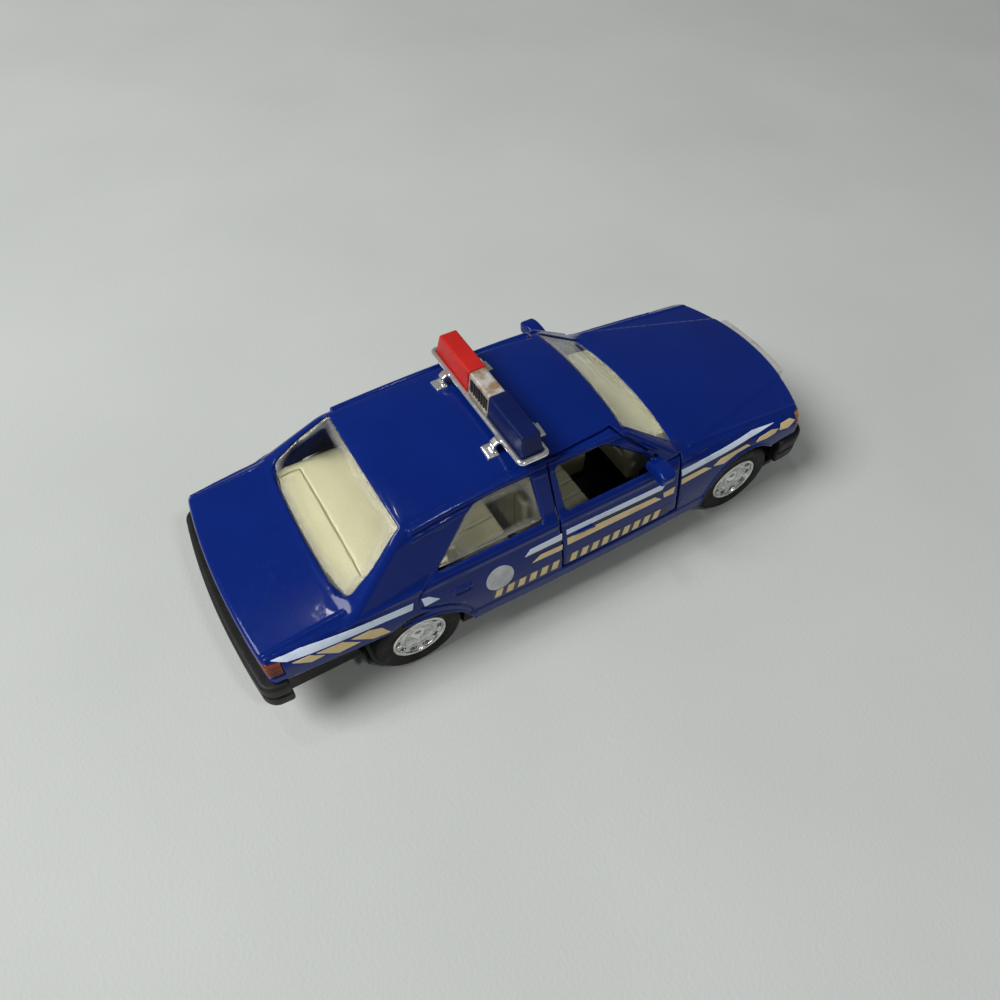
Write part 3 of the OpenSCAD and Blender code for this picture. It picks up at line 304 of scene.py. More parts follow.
def base_field(x, y, z):
    side, ends = body_side(x, y), body_ends(x, y)
    inside = meet(side + BASE_INSET, ends + BASE_INSET, 1.0)
    narrow = common(inside, np.where(x < NARROW_X, np.abs(y) - VALANCE_Y, np.float32(-FAR)))
    plate = meet(common(narrow, np.abs(x) - BASE_END_X), slab(z, BASE_Z, FLOOR_Z), 0.4)
    rim = common(inside, -(inside + RIM_WALL), slab(z, BASE_Z, FLOOR_Z + RIM_H))
    rim = common(rim, slab(x, REAR_AXLE_X, FRONT_AXLE_X))
    part = join(plate, rim, 0.4)
    for end in (-1, 1):
        valance_low = (end * BASE_END_X - VALANCE_HALF, -VALANCE_Y, BASE_Z)
        valance_high = (end * BASE_END_X + VALANCE_HALF, VALANCE_Y, BUMPER_Z + BUMPER_WALL)
        part = join(part, cuboid(x, y, z, valance_low, valance_high, 0.5), 0.5)
    around = meet(side - BUMPER_SIDE, ends - BUMPER_OUT, BUMPER_CORNER)
    bumper = meet(around, slab(z, BUMPER_Z, BUMPER_TOP_Z), BUMPER_ROUND)
    groove = common(slab(z, GROOVE_LOW, GROOVE_HIGH), -(around + GROOVE_DEEP))
    bumper = less(bumper, groove, 0.15)
    bumper = meet(bumper, either(FRONT_BUMPER_X - x, x - REAR_BUMPER_X), 0.6)
    hollow = common(common(side, ends) + BUMPER_WALL, BUMPER_Z + BUMPER_WALL - z)
    part = join(part, less(bumper, hollow, 0.3), 0.3)
    skirt = common(side + SKIRT_IN, -(side + SKIRT_IN + BUMPER_WALL))
    skirt = common(skirt, ends + 0.9, slab(z, BUMPER_Z, BUMPER_TOP_Z))
    part = join(part, common(skirt, slab(x, REAR_BUMPER_X - 1, SKIRT_END_X)), 0.3)
    ledge = common(side + LEDGE_IN, slab(z, BUMPER_Z, BUMPER_Z + BUMPER_WALL), LEDGE_Y - np.abs(y))
    web = common(slab(np.abs(y), LEDGE_Y, WEB_Y), slab(z, BASE_Z, BUMPER_Z + 1))
    for brace in (ledge, web):
        part = join(part, common(brace, slab(x, REAR_BUMPER_X - 1, LEDGE_X)), 0.3)
    for axle_x in (FRONT_AXLE_X, REAR_AXLE_X):
        post_low = (axle_x - POST_HALF, POST_LOW_Y, BASE_Z)
        post_high = (axle_x + POST_HALF, POST_HIGH_Y, AXLE_Z + POST_RISE)
        part = join(part, cuboid(x, np.abs(y), z, post_low, post_high, 0.4), 0.4)
    for screw_x, screw_y in SCREW_PLACES:
        boss = meet(np.hypot(x - screw_x, y - screw_y) - BOSS_R, slab(z, BASE_Z, BASE_Z + BOSS_H), 0.3)
        part = join(part, boss, 0.4)
    for axle_x in (FRONT_AXLE_X, REAR_AXLE_X):
        radius = np.hypot(x - axle_x, z - AXLE_Z)
        part = less(part, common(radius - WELL_R, WELL_Y - np.abs(y)), 0.3)
        part = common(part, AXLE_BORE_R - radius)
    arch = common(np.hypot(x - FRONT_AXLE_X, z - AXLE_Z) - ARCH_R, ARCH_Y - np.abs(y))
    part = less(part, arch, 0.4)
    (case_low, case_high), (cover_low, cover_high) = node_box("motor_case"), node_box("motor_cover")
    hole_low = (case_low[0] - MOTOR_ROOM, min(case_low[1], cover_low[1]) - MOTOR_ROOM, 0.0)
    hole_high = (case_high[0] + MOTOR_ROOM, max(case_high[1], cover_high[1]) + MOTOR_ROOM, MOTOR_HOLE_Z)
    part = less(part, cuboid(x, y, z, hole_low, hole_high, 0.3), 0.25)
    for screw_x, screw_y in SCREW_PLACES:
        seat = common(np.hypot(x - screw_x, y - screw_y) - SCREW_SEAT_R, z - (BASE_Z + SCREW_SEAT_H))
        part = less(part, seat, 0.2)
    ribs = every(x + RIB_SHIFT, RIB_PITCH) - RIB_HALF
    ribs = common(ribs, np.abs(y) - RIB_Y, slab(x, *RIB_X))
    return common(part, either(-ribs, BASE_Z + RIB_DEEP - z))


base_axes = samples((-65.2, -25.2, 4.8), (65.2, 25.2, 17.2), 0.3)
base = solid("base_moulding", base_axes, base_field(*base_axes), coarse=0.02)
black_plastic = mottled("black_plastic", (220, 0.4, 0.7), (0.006, 0.006, 0.006), (0.013, 0.0125, 0.0115),
                        (500, 0.42, 0.58),
                        {"Normal": dents(grain(2600, 0.3, 0.7, detail=2.0), 0.25, 0.00006),
                         "Specular IOR Level": 0.25},
                        edge_wear_and_hollow_shade=((0.25, 0.9, 900, 0.2), (0.04, 0.04, 0.037)))
dressed(base, black_plastic, "car", "black_plastic", "base_plate")


# Base screws: three plated steel self-tapping screws with cross recesses that hold the base plate up
# against the body posts. One screw is drawn and set on three points by Geometry Nodes.
def node_tree(name, *sizes):
    """A Geometry Nodes tree with geometry in and out, named sizes and a finish: it, and its two ends."""
    tree = bpy.data.node_groups.new(name, "GeometryNodeTree")
    tree.interface.new_socket("Geometry", in_out="INPUT", socket_type="NodeSocketGeometry")
    tree.interface.new_socket("Geometry", in_out="OUTPUT", socket_type="NodeSocketGeometry")
    for size in sizes:
        tree.interface.new_socket(size, in_out="INPUT", socket_type="NodeSocketFloat")
    tree.interface.new_socket("Finish", in_out="INPUT", socket_type="NodeSocketMaterial")
    return tree, tree.nodes.new("NodeGroupInput").outputs, tree.nodes.new("NodeGroupOutput").inputs


def geo(tree, kind, inputs=(), **settings):
    """The outputs of a new node of a geometry tree."""
    return add_node(tree, kind, inputs, settings).outputs


def set_on_points(tree, given, out, shape):
    """Ends a tree: a shape on each point of its mesh, made real and given its finish."""
    spots = geo(tree, "GeometryNodeMeshToPoints", {"Mesh": given["Geometry"]})["Points"]
    placed = geo(tree, "GeometryNodeInstanceOnPoints", {"Points": spots, "Instance": shape})["Instances"]
    real = geo(tree, "GeometryNodeRealizeInstances", {"Geometry": placed})["Geometry"]
    painted = geo(tree, "GeometryNodeSetMaterial", {"Geometry": real, "Material": given["Finish"]})
    tree.links.new(painted["Geometry"], out["Geometry"])


def grown_by(tree, name, points, values):
    """Runs a tree on a mesh of loose points, in millimetres, and keeps the result as a plain mesh."""
    cloud = bpy.data.meshes.new(name + "_points")
    cloud.from_pydata([Vector(point) * MM for point in points], [], [])
    holder = shown(name + "_points", cloud)
    maker = holder.modifiers.new(name, "NODES")
    maker.node_group = tree
    for item in tree.interface.items_tree:
        if item.in_out == "INPUT" and item.name in values:
            maker[item.identifier] = values[item.name]
    seen = holder.evaluated_get(bpy.context.evaluated_depsgraph_get())
    mesh = bpy.data.meshes.new_from_object(seen)
    mesh.name = name
    bpy.data.objects.remove(holder)
    return shown(name, mesh)


screw_steel = mottled("screw_steel", (900, 0.35, 0.7), (0.46, 0.45, 0.42), (0.3, 0.27, 0.22),
                      (1500, 0.22, 0.45), {"Metallic": 1.0})
tree, given, out = node_tree("screw_heads", "Radius", "Height", "Cross", "Slot", "Thread", "Shank")
head = geo(tree, "GeometryNodeMeshCylinder",
           {"Vertices": 40, "Radius": given["Radius"], "Depth": given["Height"]})["Mesh"]
bars = []
for far, near in (("X", "Y"), ("Y", "X")):
    size = geo(tree, "ShaderNodeCombineXYZ", {far: given["Cross"], near: given["Slot"], "Z": given["Height"]})
    bars.append(geo(tree, "GeometryNodeMeshCube", {"Size": size[0]})["Mesh"])
drop = geo(tree, "ShaderNodeMath", {0: given["Height"], 1: -0.5}, operation="MULTIPLY")[0]
down = geo(tree, "ShaderNodeCombineXYZ", {"Z": drop})[0]
cross = geo(tree, "GeometryNodeMeshBoolean", {"Mesh 2": bars[0]}, operation="UNION", solver="EXACT")["Mesh"]
tree.links.new(bars[1], cross.node.inputs["Mesh 2"])
sunk = geo(tree, "GeometryNodeTransform", {"Geometry": cross, "Translation": down})["Geometry"]
cut = geo(tree, "GeometryNodeMeshBoolean", {"Mesh 1": head, "Mesh 2": sunk},
          operation="DIFFERENCE", solver="EXACT")["Mesh"]
shank = geo(tree, "GeometryNodeMeshCylinder",
            {"Vertices": 24, "Radius": given["Thread"], "Depth": given["Shank"]})["Mesh"]
rise = geo(tree, "ShaderNodeMath", {0: given["Shank"], 1: 0.5}, operation="MULTIPLY")[0]
up = geo(tree, "ShaderNodeCombineXYZ", {"Z": rise})[0]
lifted = geo(tree, "GeometryNodeTransform", {"Geometry": shank, "Translation": up})["Geometry"]
whole = geo(tree, "GeometryNodeJoinGeometry", {"Geometry": cut})["Geometry"]
tree.links.new(lifted, whole.node.inputs["Geometry"])
set_on_points(tree, given, out, whole)
screws = grown_by(tree, "base_screw_heads", [(x, y, BASE_Z + 0.7) for x, y in SCREW_PLACES],
                  {"Radius": 1.8 * MM, "Height": 1.0 * MM, "Cross": 2.3 * MM, "Slot": 0.45 * MM,
                   "Thread": 0.9 * MM, "Shank": 7.6 * MM, "Finish": screw_steel})
dressed(screws, screw_steel, "car", "steel", "base_screws")


# Pull-back motor: a black case and cover round plastic gears and a coiled steel spring, pressed into
# the base plate. Its CAD solids and the two axles are exact, so they stay and are given their finishes.
gear_plastic = mottled("gear_plastic", (400, 0.35, 0.65), (0.74, 0.72, 0.64), (0.66, 0.62, 0.5),
                       (700, 0.38, 0.5), {"Subsurface Weight": 0.1})
spring_steel = mottled("spring_steel", (1500, 0.3, 0.7), (0.34, 0.35, 0.37), (0.2, 0.19, 0.19),
                       (1200, 0.2, 0.38), {"Metallic": 1.0})
bright_steel = mottled("bright_steel", (800, 0.3, 0.75), (0.5, 0.5, 0.49), (0.36, 0.34, 0.31),
                       (900, 0.2, 0.36), {"Metallic": 1.0})
dark_plastic = mottled("dark_plastic", (300, 0.4, 0.7), (0.02, 0.02, 0.021), (0.034, 0.033, 0.031),
                       (600, 0.4, 0.56), {"Normal": dents(grain(2400, 0.3, 0.7, detail=2.0), 0.2, 0.00005)})
for coat, names in ((dark_plastic, ("motor_case", "motor_cover")),
                    (gear_plastic, ("drive_gear", "idler_gear", "spring_barrel")),
                    (spring_steel, ("mainspring",)),
                    (bright_steel, ("motor_pins", "front_axle", "rear_axle"))):
    for named in names:
        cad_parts[named].data.materials.clear()
        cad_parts[named].data.materials.append(coat)


# Tyres: four smooth black rubber tyres pushed onto the hubs. Each is a turned ring with a rounded
# shoulder, a raised ring on its outer wall and the fine moulding line that runs round the tread.
TYRE_R, TYRE_FACE_Y, TYRE_W, RIM_R, SHOULDER_R = 8.8, 21.9, 6.2, 5.6, 0.9
SIDES = (("left", 1), ("right", -1))
AXLES = (("front", FRONT_AXLE_X), ("rear", REAR_AXLE_X))
SHARP_ANGLE = math.radians(40)


def closed(name, points, faces):
    """An object of a closed mesh, its faces turned outwards and smooth but for its sharp edges."""
    mesh = bpy.data.meshes.new(name)
    mesh.from_pydata(points, [], faces)
    shaped = bmesh.new()
    shaped.from_mesh(mesh)
    bmesh.ops.recalc_face_normals(shaped, faces=shaped.faces[:])
    shaped.to_mesh(mesh)
    shaped.free()
    mesh.shade_smooth()
    mesh.set_sharp_from_angle(angle=SHARP_ANGLE)
    return shown(name, mesh)


def turned(name, profile, x, z, side, steps=128):
    """A closed profile of radius and distance in from the outer face, turned about a wheel's axis."""
    ring = len(profile)
    points, faces = [], []
    for i in range(steps):
        turn = 2 * math.pi * i / steps
        for radius, depth in profile:
            points.append(Vector((x + radius * math.cos(turn), side * (TYRE_FACE_Y - depth),
                                  z + radius * math.sin(turn))) * MM)
        for j in range(ring):
            after, beside = (i + 1) % steps, (j + 1) % ring
            faces.append((i * ring + j, after * ring + j, after * ring + beside, i * ring + beside))
    return closed(name, points, faces)


def arc(centre, r, start, end, steps):
    """Points along an arc of a profile, its angles in degrees."""
    turns = [math.radians(start + (end - start) * i / steps) for i in range(steps + 1)]
    return [(centre[0] + r * math.cos(t), centre[1] + r * math.sin(t)) for t in turns]


outer_wall = [(RIM_R, 0.12), (6.0, 0.02)] + arc((6.25, 0.1), 0.12, 200, 340, 5) + [(6.5, 0.08), (7.3, 0.0)]
shoulder = arc((TYRE_R - SHOULDER_R, SHOULDER_R), SHOULDER_R, -80, 0, 8)
tread = [(TYRE_R, 2.9), (TYRE_R - 0.05, 3.0), (TYRE_R - 0.05, 3.15), (TYRE_R, 3.25)]
inner_wall = arc((TYRE_R - SHOULDER_R, TYRE_W - SHOULDER_R), SHOULDER_R, 0, 80, 8) + [(RIM_R, TYRE_W - 0.05)]
tyre_rubber = mottled("tyre_rubber", (260, 0.42, 0.72), (0.006, 0.006, 0.006), (0.016, 0.0155, 0.0145),
                      (500, 0.5, 0.7), {"Normal": dents(grain(1800, 0.3, 0.7, detail=3.0), 0.3, 0.00008),
                                        "Specular IOR Level": 0.22})
for end, axle_x in AXLES:
    for hand, side in SIDES:
        profile = outer_wall + shoulder + tread + inner_wall
        tyre = turned(f"{end}_tyre_ring_{hand}", profile, axle_x, AXLE_Z, side)
        dressed(tyre, tyre_rubber, end + "_wheels", "tyre_rubber", f"{end}_tyre_{hand}")


# Hubcaps: plated plastic discs pressed into the tyres, with a bright rolled rim, a ring of small
# openings inside it, a dished face and a domed middle.
HUB_SLOTS, HUB_SLOT_R, HUB_SLOT_HALF, HUB_SLOT_DEEP = 10, 4.25, (0.4, 0.72), 1.5
HUB_BACK, HUB_FACE, HUB_DISH, HUB_DISH_R, HUB_IN, HUB_ROLL_R = -4.3, -0.8, 0.35, (1.9, 4.7), 0.15, 0.42
HUB_HOLLOW_R, HUB_HOLLOW, HUB_BEAD_R = (2.0, 4.8), -2.2, 3.1
HUB_DOME_R, HUB_DOME, HUB_BORE_R = 1.85, -1.95, 1.02


def hub_field(x, y, z):
    radius, turn = np.hypot(x, z), np.arctan2(z, x)
    dish_start, dish_end = HUB_DISH_R
    face = HUB_FACE + HUB_DISH * np.clip((radius - dish_start) / (dish_end - dish_start), 0, 1)
    part = common(y - face, HUB_BACK - y, radius - RIM_R)
    part = less(part, common(slab(radius, *HUB_HOLLOW_R), y - HUB_HOLLOW), 0.1)
    part = join(part, np.hypot(radius - (RIM_R - HUB_ROLL_R), y + 0.36) - HUB_ROLL_R, 0.1)
    across = radius * every(turn, 2 * np.pi / HUB_SLOTS)
    deep, wide = HUB_SLOT_HALF
    slot_low, slot_high = (HUB_SLOT_R - deep, -wide, -HUB_SLOT_DEEP), (HUB_SLOT_R + deep, wide, 2.0)
    part = less(part, cuboid(radius, across, y, slot_low, slot_high, 0.2), 0.08)
    part = join(part, np.hypot(radius - HUB_BEAD_R, y - face) - 0.16, 0.1)
    part = join(part, np.hypot(radius, y - HUB_DOME) - HUB_DOME_R, 0.15)
    return common(part, np.where(y < -1.4, HUB_BORE_R - radius, -FAR))


hub_axes = samples((-6.0, -4.9, -6.0), (6.0, 0.6, 6.0), 0.1)
hub_shape = solid("hub_shape", hub_axes, hub_field(*hub_axes))
hub_chrome = mottled("hub_chrome", (600, 0.5, 0.75), (0.78, 0.78, 0.77), (0.5, 0.48, 0.44),
                     (900, 0.2, 0.36), {"Metallic": 1.0,
                                        "Normal": dents(grain(1300, 0.3, 0.7), 0.1, 0.00004)})
for end, axle_x in AXLES:
    for hand, side in SIDES:
        mesh = hub_shape.data.copy()
        place = Matrix.Translation(Vector((axle_x, side * (TYRE_FACE_Y - HUB_IN), AXLE_Z)) * MM)
        mesh.transform(place @ Matrix.Rotation(0 if side > 0 else math.pi, 4, "Z"))
        cap = shown(f"{end}_hubcap_{hand}", mesh)
        dressed(cap, hub_chrome, end + "_wheels", "chrome_plating", f"{end}_hub_{hand}")
bpy.data.objects.remove(hub_shape)


# Seats: one cream moulding with the parcel shelf, rear bench, two front chairs and the door cards,
# clipped between the base plate and the body. Fine channels are pressed into its cushions.
def plate(u, v, corners, r):
    """A convex outline, its corners given anticlockwise and rounded to r."""
    part = None
    for (u0, v0), (u1, v1) in zip(corners, corners[1:] + corners[:1]):
        run = math.hypot(u1 - u0, v1 - v0)
        beyond = ((u - u0) * (v1 - v0) - (v - v0) * (u1 - u0)) / run
        part = beyond if part is None else meet(part, beyond, r)
    return part


SEAT_Z, BENCH_HALF_W, CHAIR_MIDDLE, CHANNEL_HALF, CHANNEL_DEEP = 7.2, 17.0, 8.75, 0.16, 0.35
BENCH_PITCH, CHAIR_PITCH, CHAIR_CHANNELS_HALF = 4.2, 3.4, 5.6
CHAIRS_X, CHANNELS_X, CHANNELS_Z, SHELF_CROWN = -9.4, -26.0, 10.0, 280
SEAM_X, SEAM_Y, SEAM_Z, SEAM_HALF, SEAM_END_X, SEAM_END_HALF = -39.5, 14.8, 20.0, 0.2, -41.2, 1.7


def seat_field(x, y, z):
    wide = np.abs(y)
    shelf = [(-46.8, 22.4), (-24.0, 22.4), (-24.0, 23.5), (-46.8, 23.5)]
    shelf = plate(x, z + wide ** 2 / SHELF_CROWN, shelf, 0.3)
    back = plate(x, z, [(-22.6, SEAT_Z), (-20.4, 15.4), (-23.2, 25.0), (-25.4, 25.0)], 0.7)
    bench = plate(x, z, [(-24.0, SEAT_Z), (-10.4, SEAT_Z), (-10.4, 16.2), (-20.4, 15.4)], 0.8)
    part = meet(join(join(shelf, back, 0.5), bench, 0.8), wide - BENCH_HALF_W, 0.6)
    chair_back = plate(x, z, [(-7.4, SEAT_Z), (-3.2, 15.2), (-6.4, 26.2), (-8.6, 26.2)], 0.9)
    chair_seat = plate(x, z, [(-7.4, SEAT_Z), (8.4, SEAT_Z), (8.4, 16.2), (-3.2, 15.2)], 0.9)
    part = join(part, meet(join(chair_back, chair_seat, 0.8), slab(wide, 1.9, 15.6), 1.0), 0.3)
    card = cuboid(x, wide, z, (-21.0, 17.5, SEAT_Z), (16.4, 18.4, 20.6), 0.3)
    foot = cuboid(x, wide, z, (-21.0, 15.8, SEAT_Z), (7.0, 18.0, 8.6), 0.3)
    part = join(part, either(card, foot), 0.4)
    tunnel = cuboid(x, wide, z, (-12.0, -4.0, SEAT_Z), (16.6, 2.6, 13.4), 0.8)
    part = join(part, tunnel, 0.4)
    bench_channels = every(wide, BENCH_PITCH) - CHANNEL_HALF
    chair_channels = every(wide - CHAIR_MIDDLE, CHAIR_PITCH) - CHANNEL_HALF
    chair_channels = common(chair_channels, np.abs(wide - CHAIR_MIDDLE) - CHAIR_CHANNELS_HALF)
    channels = common(np.where(x < CHAIRS_X, bench_channels, chair_channels), CHANNELS_Z - z)
    seam = common(np.abs(x - SEAM_X) - SEAM_HALF, wide - SEAM_Y)
    seam_end = common(np.abs(wide - SEAM_Y) - SEAM_HALF, np.abs(x - SEAM_END_X) - SEAM_END_HALF)
    seam = common(either(seam, seam_end), SEAM_Z - z)
    lines = either(np.where(x > CHANNELS_X, channels, FAR), seam)
    return common(part, either(-lines, part + CHANNEL_DEEP))


def both_sides(axes, half):
    """A left half and its mirror image as one field, with its axes."""
    half = np.broadcast_to(half, [axis.size for axis in axes])
    across = np.concatenate([-axes[1][:, :0:-1], axes[1]], axis=1)
    return (axes[0], across, axes[2]), np.concatenate([half[:, :0:-1], half], axis=1)


seat_axes = samples((-47.5, 0.0, 6.6), (17.2, 19.2, 27.0), 0.25)
seats = solid("seat_moulding", *both_sides(seat_axes, seat_field(*seat_axes)), coarse=0.03)
# Its last colour is painted shade: the cream goes darker and browner where the moulding bends in, in its
# channels, seams and the hollows between its parts.
cream_plastic = mottled("cream_plastic", (90, 0.4, 0.75), (0.375, 0.36, 0.235), (0.355, 0.34, 0.22),
                        (400, 0.4, 0.55), {"Normal": dents(grain(2200, 0.3, 0.7, detail=2.0), 0.2, 0.00006)},
                        edge_wear_and_hollow_shade=((-0.1, -0.5, 300, 0.4), (0.21, 0.19, 0.115)))
dressed(seats, cream_plastic, "car", "cream_plastic", "seat_unit")


# Dashboard and steering wheel: a cream shelf with a cowled instrument box and three vents, on two legs,
# and a dark three-spoked wheel pressed into it by its column.
WHEEL_AT, WHEEL_LEAN, WHEEL_R, WHEEL_RIM_R = (15.5, 8.6, 21.2), math.radians(77.5 - 90), 2.58, 0.42
SPOKE_HALF, SPOKE_L, SPOKE_THIN, BOSS_TOP_R, COLUMN_R, COLUMN_L = 0.4, 2.6, 0.25, 0.85, 0.6, 3.3
VENT_PLACES, VENT_HALF, LEG_Y, LEG_HALF = (-10.5, -3.0, 2.6), 1.7, 11.6, 0.6
DASH_HALF_W, DASH_TAPER_X, DASH_TAPER = 14.6, 20.0, 0.25


def dash_field(x, y, z):
    top = [(17.6, 16.2), (26.6, 16.2), (26.6, 25.2), (18.2, 25.2), (17.1, 23.6)]
    side = np.abs(y) - DASH_HALF_W + np.maximum(x - DASH_TAPER_X, 0) * DASH_TAPER
    part = meet(plate(x, z, top, 0.7), side, 0.8)
    cowl = cuboid(x, y, z, (17.4, 5.6, 23.0), (21.6, 11.6, 25.6), 0.6)
    part = join(part, cowl, 0.5)
    for middle in VENT_PLACES:
        vent = cuboid(x, y, z, (16.0, middle - VENT_HALF, 21.6), (17.9, middle + VENT_HALF, 23.2), 0.2)
        part = less(part, vent, 0.15)
    for leg_y in (-LEG_Y, LEG_Y):
        leg_low, leg_high = (22.4, leg_y - LEG_HALF, 7.2), (23.4, leg_y + LEG_HALF, 17.0)
        part = join(part, cuboid(x, y, z, leg_low, leg_high, 0.3), 0.4)
    return part


dash_axes = samples((15.4, -15.4, 6.6), (27.4, 15.4, 26.2), 0.2)
dash = solid("dashboard_shelf", dash_axes, dash_field(*dash_axes), coarse=0.03)
dressed(dash, cream_plastic, "car", "cream_plastic", "dashboard")


def wheel_field(x, y, z):
    dx, across, dz = x - WHEEL_AT[0], y - WHEEL_AT[1], z - WHEEL_AT[2]
    along = dx * math.cos(WHEEL_LEAN) + dz * math.sin(WHEEL_LEAN)
    up = -dx * math.sin(WHEEL_LEAN) + dz * math.cos(WHEEL_LEAN)
    radius = np.hypot(across, up)
    part = np.hypot(radius - WHEEL_R, along) - WHEEL_RIM_R
    spoke = common(np.abs(up) - SPOKE_HALF, np.abs(across) - SPOKE_L, np.abs(along) - SPOKE_THIN)
    lower = common(np.abs(across) - SPOKE_HALF, slab(up, -SPOKE_L, 0.0), np.abs(along) - SPOKE_THIN)
    part = join(part, either(spoke, lower), 0.2)
    boss = meet(radius - BOSS_TOP_R, slab(along, -0.5, 0.6), 0.2)
    column = common(radius - COLUMN_R, slab(along, 0.0, COLUMN_L))
    return join(part, either(boss, column), 0.2)


wheel_axes = samples((13.4, 5.2, 17.6), (20.0, 12.0, 24.8), 0.1)
wheel = solid("steering_wheel_rim", wheel_axes, wheel_field(*wheel_axes))
dressed(wheel, dark_plastic, "car", "dark_plastic", "steering_wheel")


# Glazing: one clear moulding inside the cabin, with panes that stand up into the screens and the rear
# side windows. The front door windows are left open. Its rims are scuffed dull and a little yellow.
BELT_Z, BELT_Y, ROOF_Z, CABIN_FOOT_Z, GLASS_FOOT_Z = 25.4, 20.1, 37.4, 23.4, 24.9
CABIN_LEAN, ROOF_X, ROOF_BOW_R, ROOF_CROWN_R = math.atan2(4.6, 10.2), -8.0, 230.0, 75.0
SCREEN_TOP, SCREEN_FOOT, SCREEN_RUN, SCREEN_CROWN = (13.2, 36.42), (27.2, 26.8), (0.8242, 0.5663), 92.0
BACK_FOOT, BACK_TOP, BACK_RUN, BACK_CROWN = (-45.9, 25.4), (-32.6, 36.05), (0.7805, 0.6251), 119.0
FRONT_PANE = [(-20.0, 26.8), (17.0, 25.9), (15.7, 30.9), (14.3, 35.4), (-20.0, 39.0)]
BACK_PANE_LOW = [(-20.0, 0.1), (17.2, 0.1), (16.9, 6.0), (-20.0, 9.0)]
BACK_PANE = [(-20.0, 2.9), (17.05, 2.9), (16.6, 8.0), (14.4, 16.8), (-20.0, 16.8)]
QUARTER = [(-28.8, 25.2), (-6.7, 25.2), (-7.6, 34.4), (-17.4, 34.4), (-19.6, 34.0)]
PANE_BOW, SILL_BOW, SILL_Z, PANE_DEEP, PANE_IN, PANE_BACK, PANE_GAP = 500, 280, 26.85, 2.6, 0.3, 2.1, 0.12
SCREEN_EDGE, BACK_EDGE, BACK_SILL_Z = 0.6, 16.4, 24.6
FLANGE_IN, FLANGE_W, SCUFF_DEEP, SCUFF_W = 1.32, 1.0, 0.7, 1.9


def under(x, y, z, start, end, crown):
    """Everything under a crowned surface whose middle line runs from start to end, rearmost first."""
    tilt = math.atan2(start[1] - end[1], end[0] - start[0])
    height = (x - start[0]) * math.sin(tilt) + (z - start[1]) * math.cos(tilt)
    return np.hypot(y, height + crown) - crown


def cabin_parts(x, y, z):
    """The cabin's side, its roof, and its two screens, before their edges are rounded."""
    side = (np.abs(y) - BELT_Y) * math.cos(CABIN_LEAN) + (z - BELT_Z) * math.sin(CABIN_LEAN)
    bowed = np.hypot(x - ROOF_X, z - ROOF_Z + ROOF_BOW_R) - (ROOF_BOW_R - ROOF_CROWN_R)
    roof = np.hypot(bowed, y) - ROOF_CROWN_R
    screen = under(x, y, z, SCREEN_TOP, SCREEN_FOOT, SCREEN_CROWN)
    back = under(x, y, z, BACK_FOOT, BACK_TOP, BACK_CROWN)
    return side, roof, screen, back


def cabin_skin(x, y, z):
    side, roof, screen, back = cabin_parts(x, y, z)
    return meet(meet(side, roof, 1.6), common(screen, back), 0.8)


def windows(x, y, z, grow):
    """The openings for the windscreen, the rear screen and the rear side windows."""
    wide = np.abs(y)
    _, _, screen, back = cabin_parts(x, y, z)
    down = (x - SCREEN_TOP[0]) * SCREEN_RUN[0] - (z - SCREEN_TOP[1]) * SCREEN_RUN[1]
    front = common(plate(wide, z, FRONT_PANE, 0.5), SCREEN_EDGE + wide ** 2 / PANE_BOW - down)
    front = common(front, SILL_Z - wide ** 2 / SILL_BOW - z, -PANE_DEEP - screen)
    along = (x - BACK_FOOT[0]) * BACK_RUN[0] + (z - BACK_FOOT[1]) * BACK_RUN[1]
    rear = either(plate(wide, along, BACK_PANE_LOW, 2.6), plate(wide, along, BACK_PANE, 0.1))
    rear = common(rear, along - BACK_EDGE + wide ** 2 / PANE_BOW)
    rear = common(rear, BACK_SILL_Z - z, -PANE_DEEP - back)
    return either(front, rear, plate(x, z, QUARTER, 0.7)) - grow


def glass_field(x, y, z):
    cabin = cabin_skin(x, y, z)
    pane = meet(windows(x, y, z, -PANE_GAP), cabin + PANE_IN, 0.25)
    flange = common(windows(x, y, z, FLANGE_W), cabin + FLANGE_IN)
    return common(either(pane, flange), -(cabin + PANE_BACK), GLASS_FOOT_Z - z)


glass_axes = samples((-46.5, 0.0, 24.2), (27.6, 20.4, 37.4), 0.2)
glass = solid("window_panes", *both_sides(glass_axes, glass_field(*glass_axes)))
pane_points = np.zeros(3 * len(glass.data.vertices), np.float32)
glass.data.vertices.foreach_get("co", pane_points)
pane_points = pane_points.reshape(-1, 3).T / MM
outside = cabin_skin(*pane_points) > -SCUFF_DEEP
rim = np.where(outside, windows(*pane_points, 0.0), -FAR).astype(np.float32)
glass.data.attributes.new("rim", "FLOAT", "POINT").data.foreach_set("value", rim)


def scuffed(clean, dull):
    """A value that goes over from clean, in the middle of a pane, to dull along its scuffed rim."""
    def build(material):
        rim = put(material, "Attribute", attribute_name="rim").outputs["Fac"]
        spread = {"Value": rim, "From Min": -SCUFF_W, "From Max": 0.0}
        near = put(material, "MapRange", spread).outputs["Result"]
        broken = grain(170, 0.3, 0.6)(material)
        share = put(material, "Math", {0: near, 1: broken}, operation="MULTIPLY").outputs["Value"]
        return put(material, "MapRange", {"Value": share, "To Min": clean, "To Max": dull}).outputs["Result"]
    return build


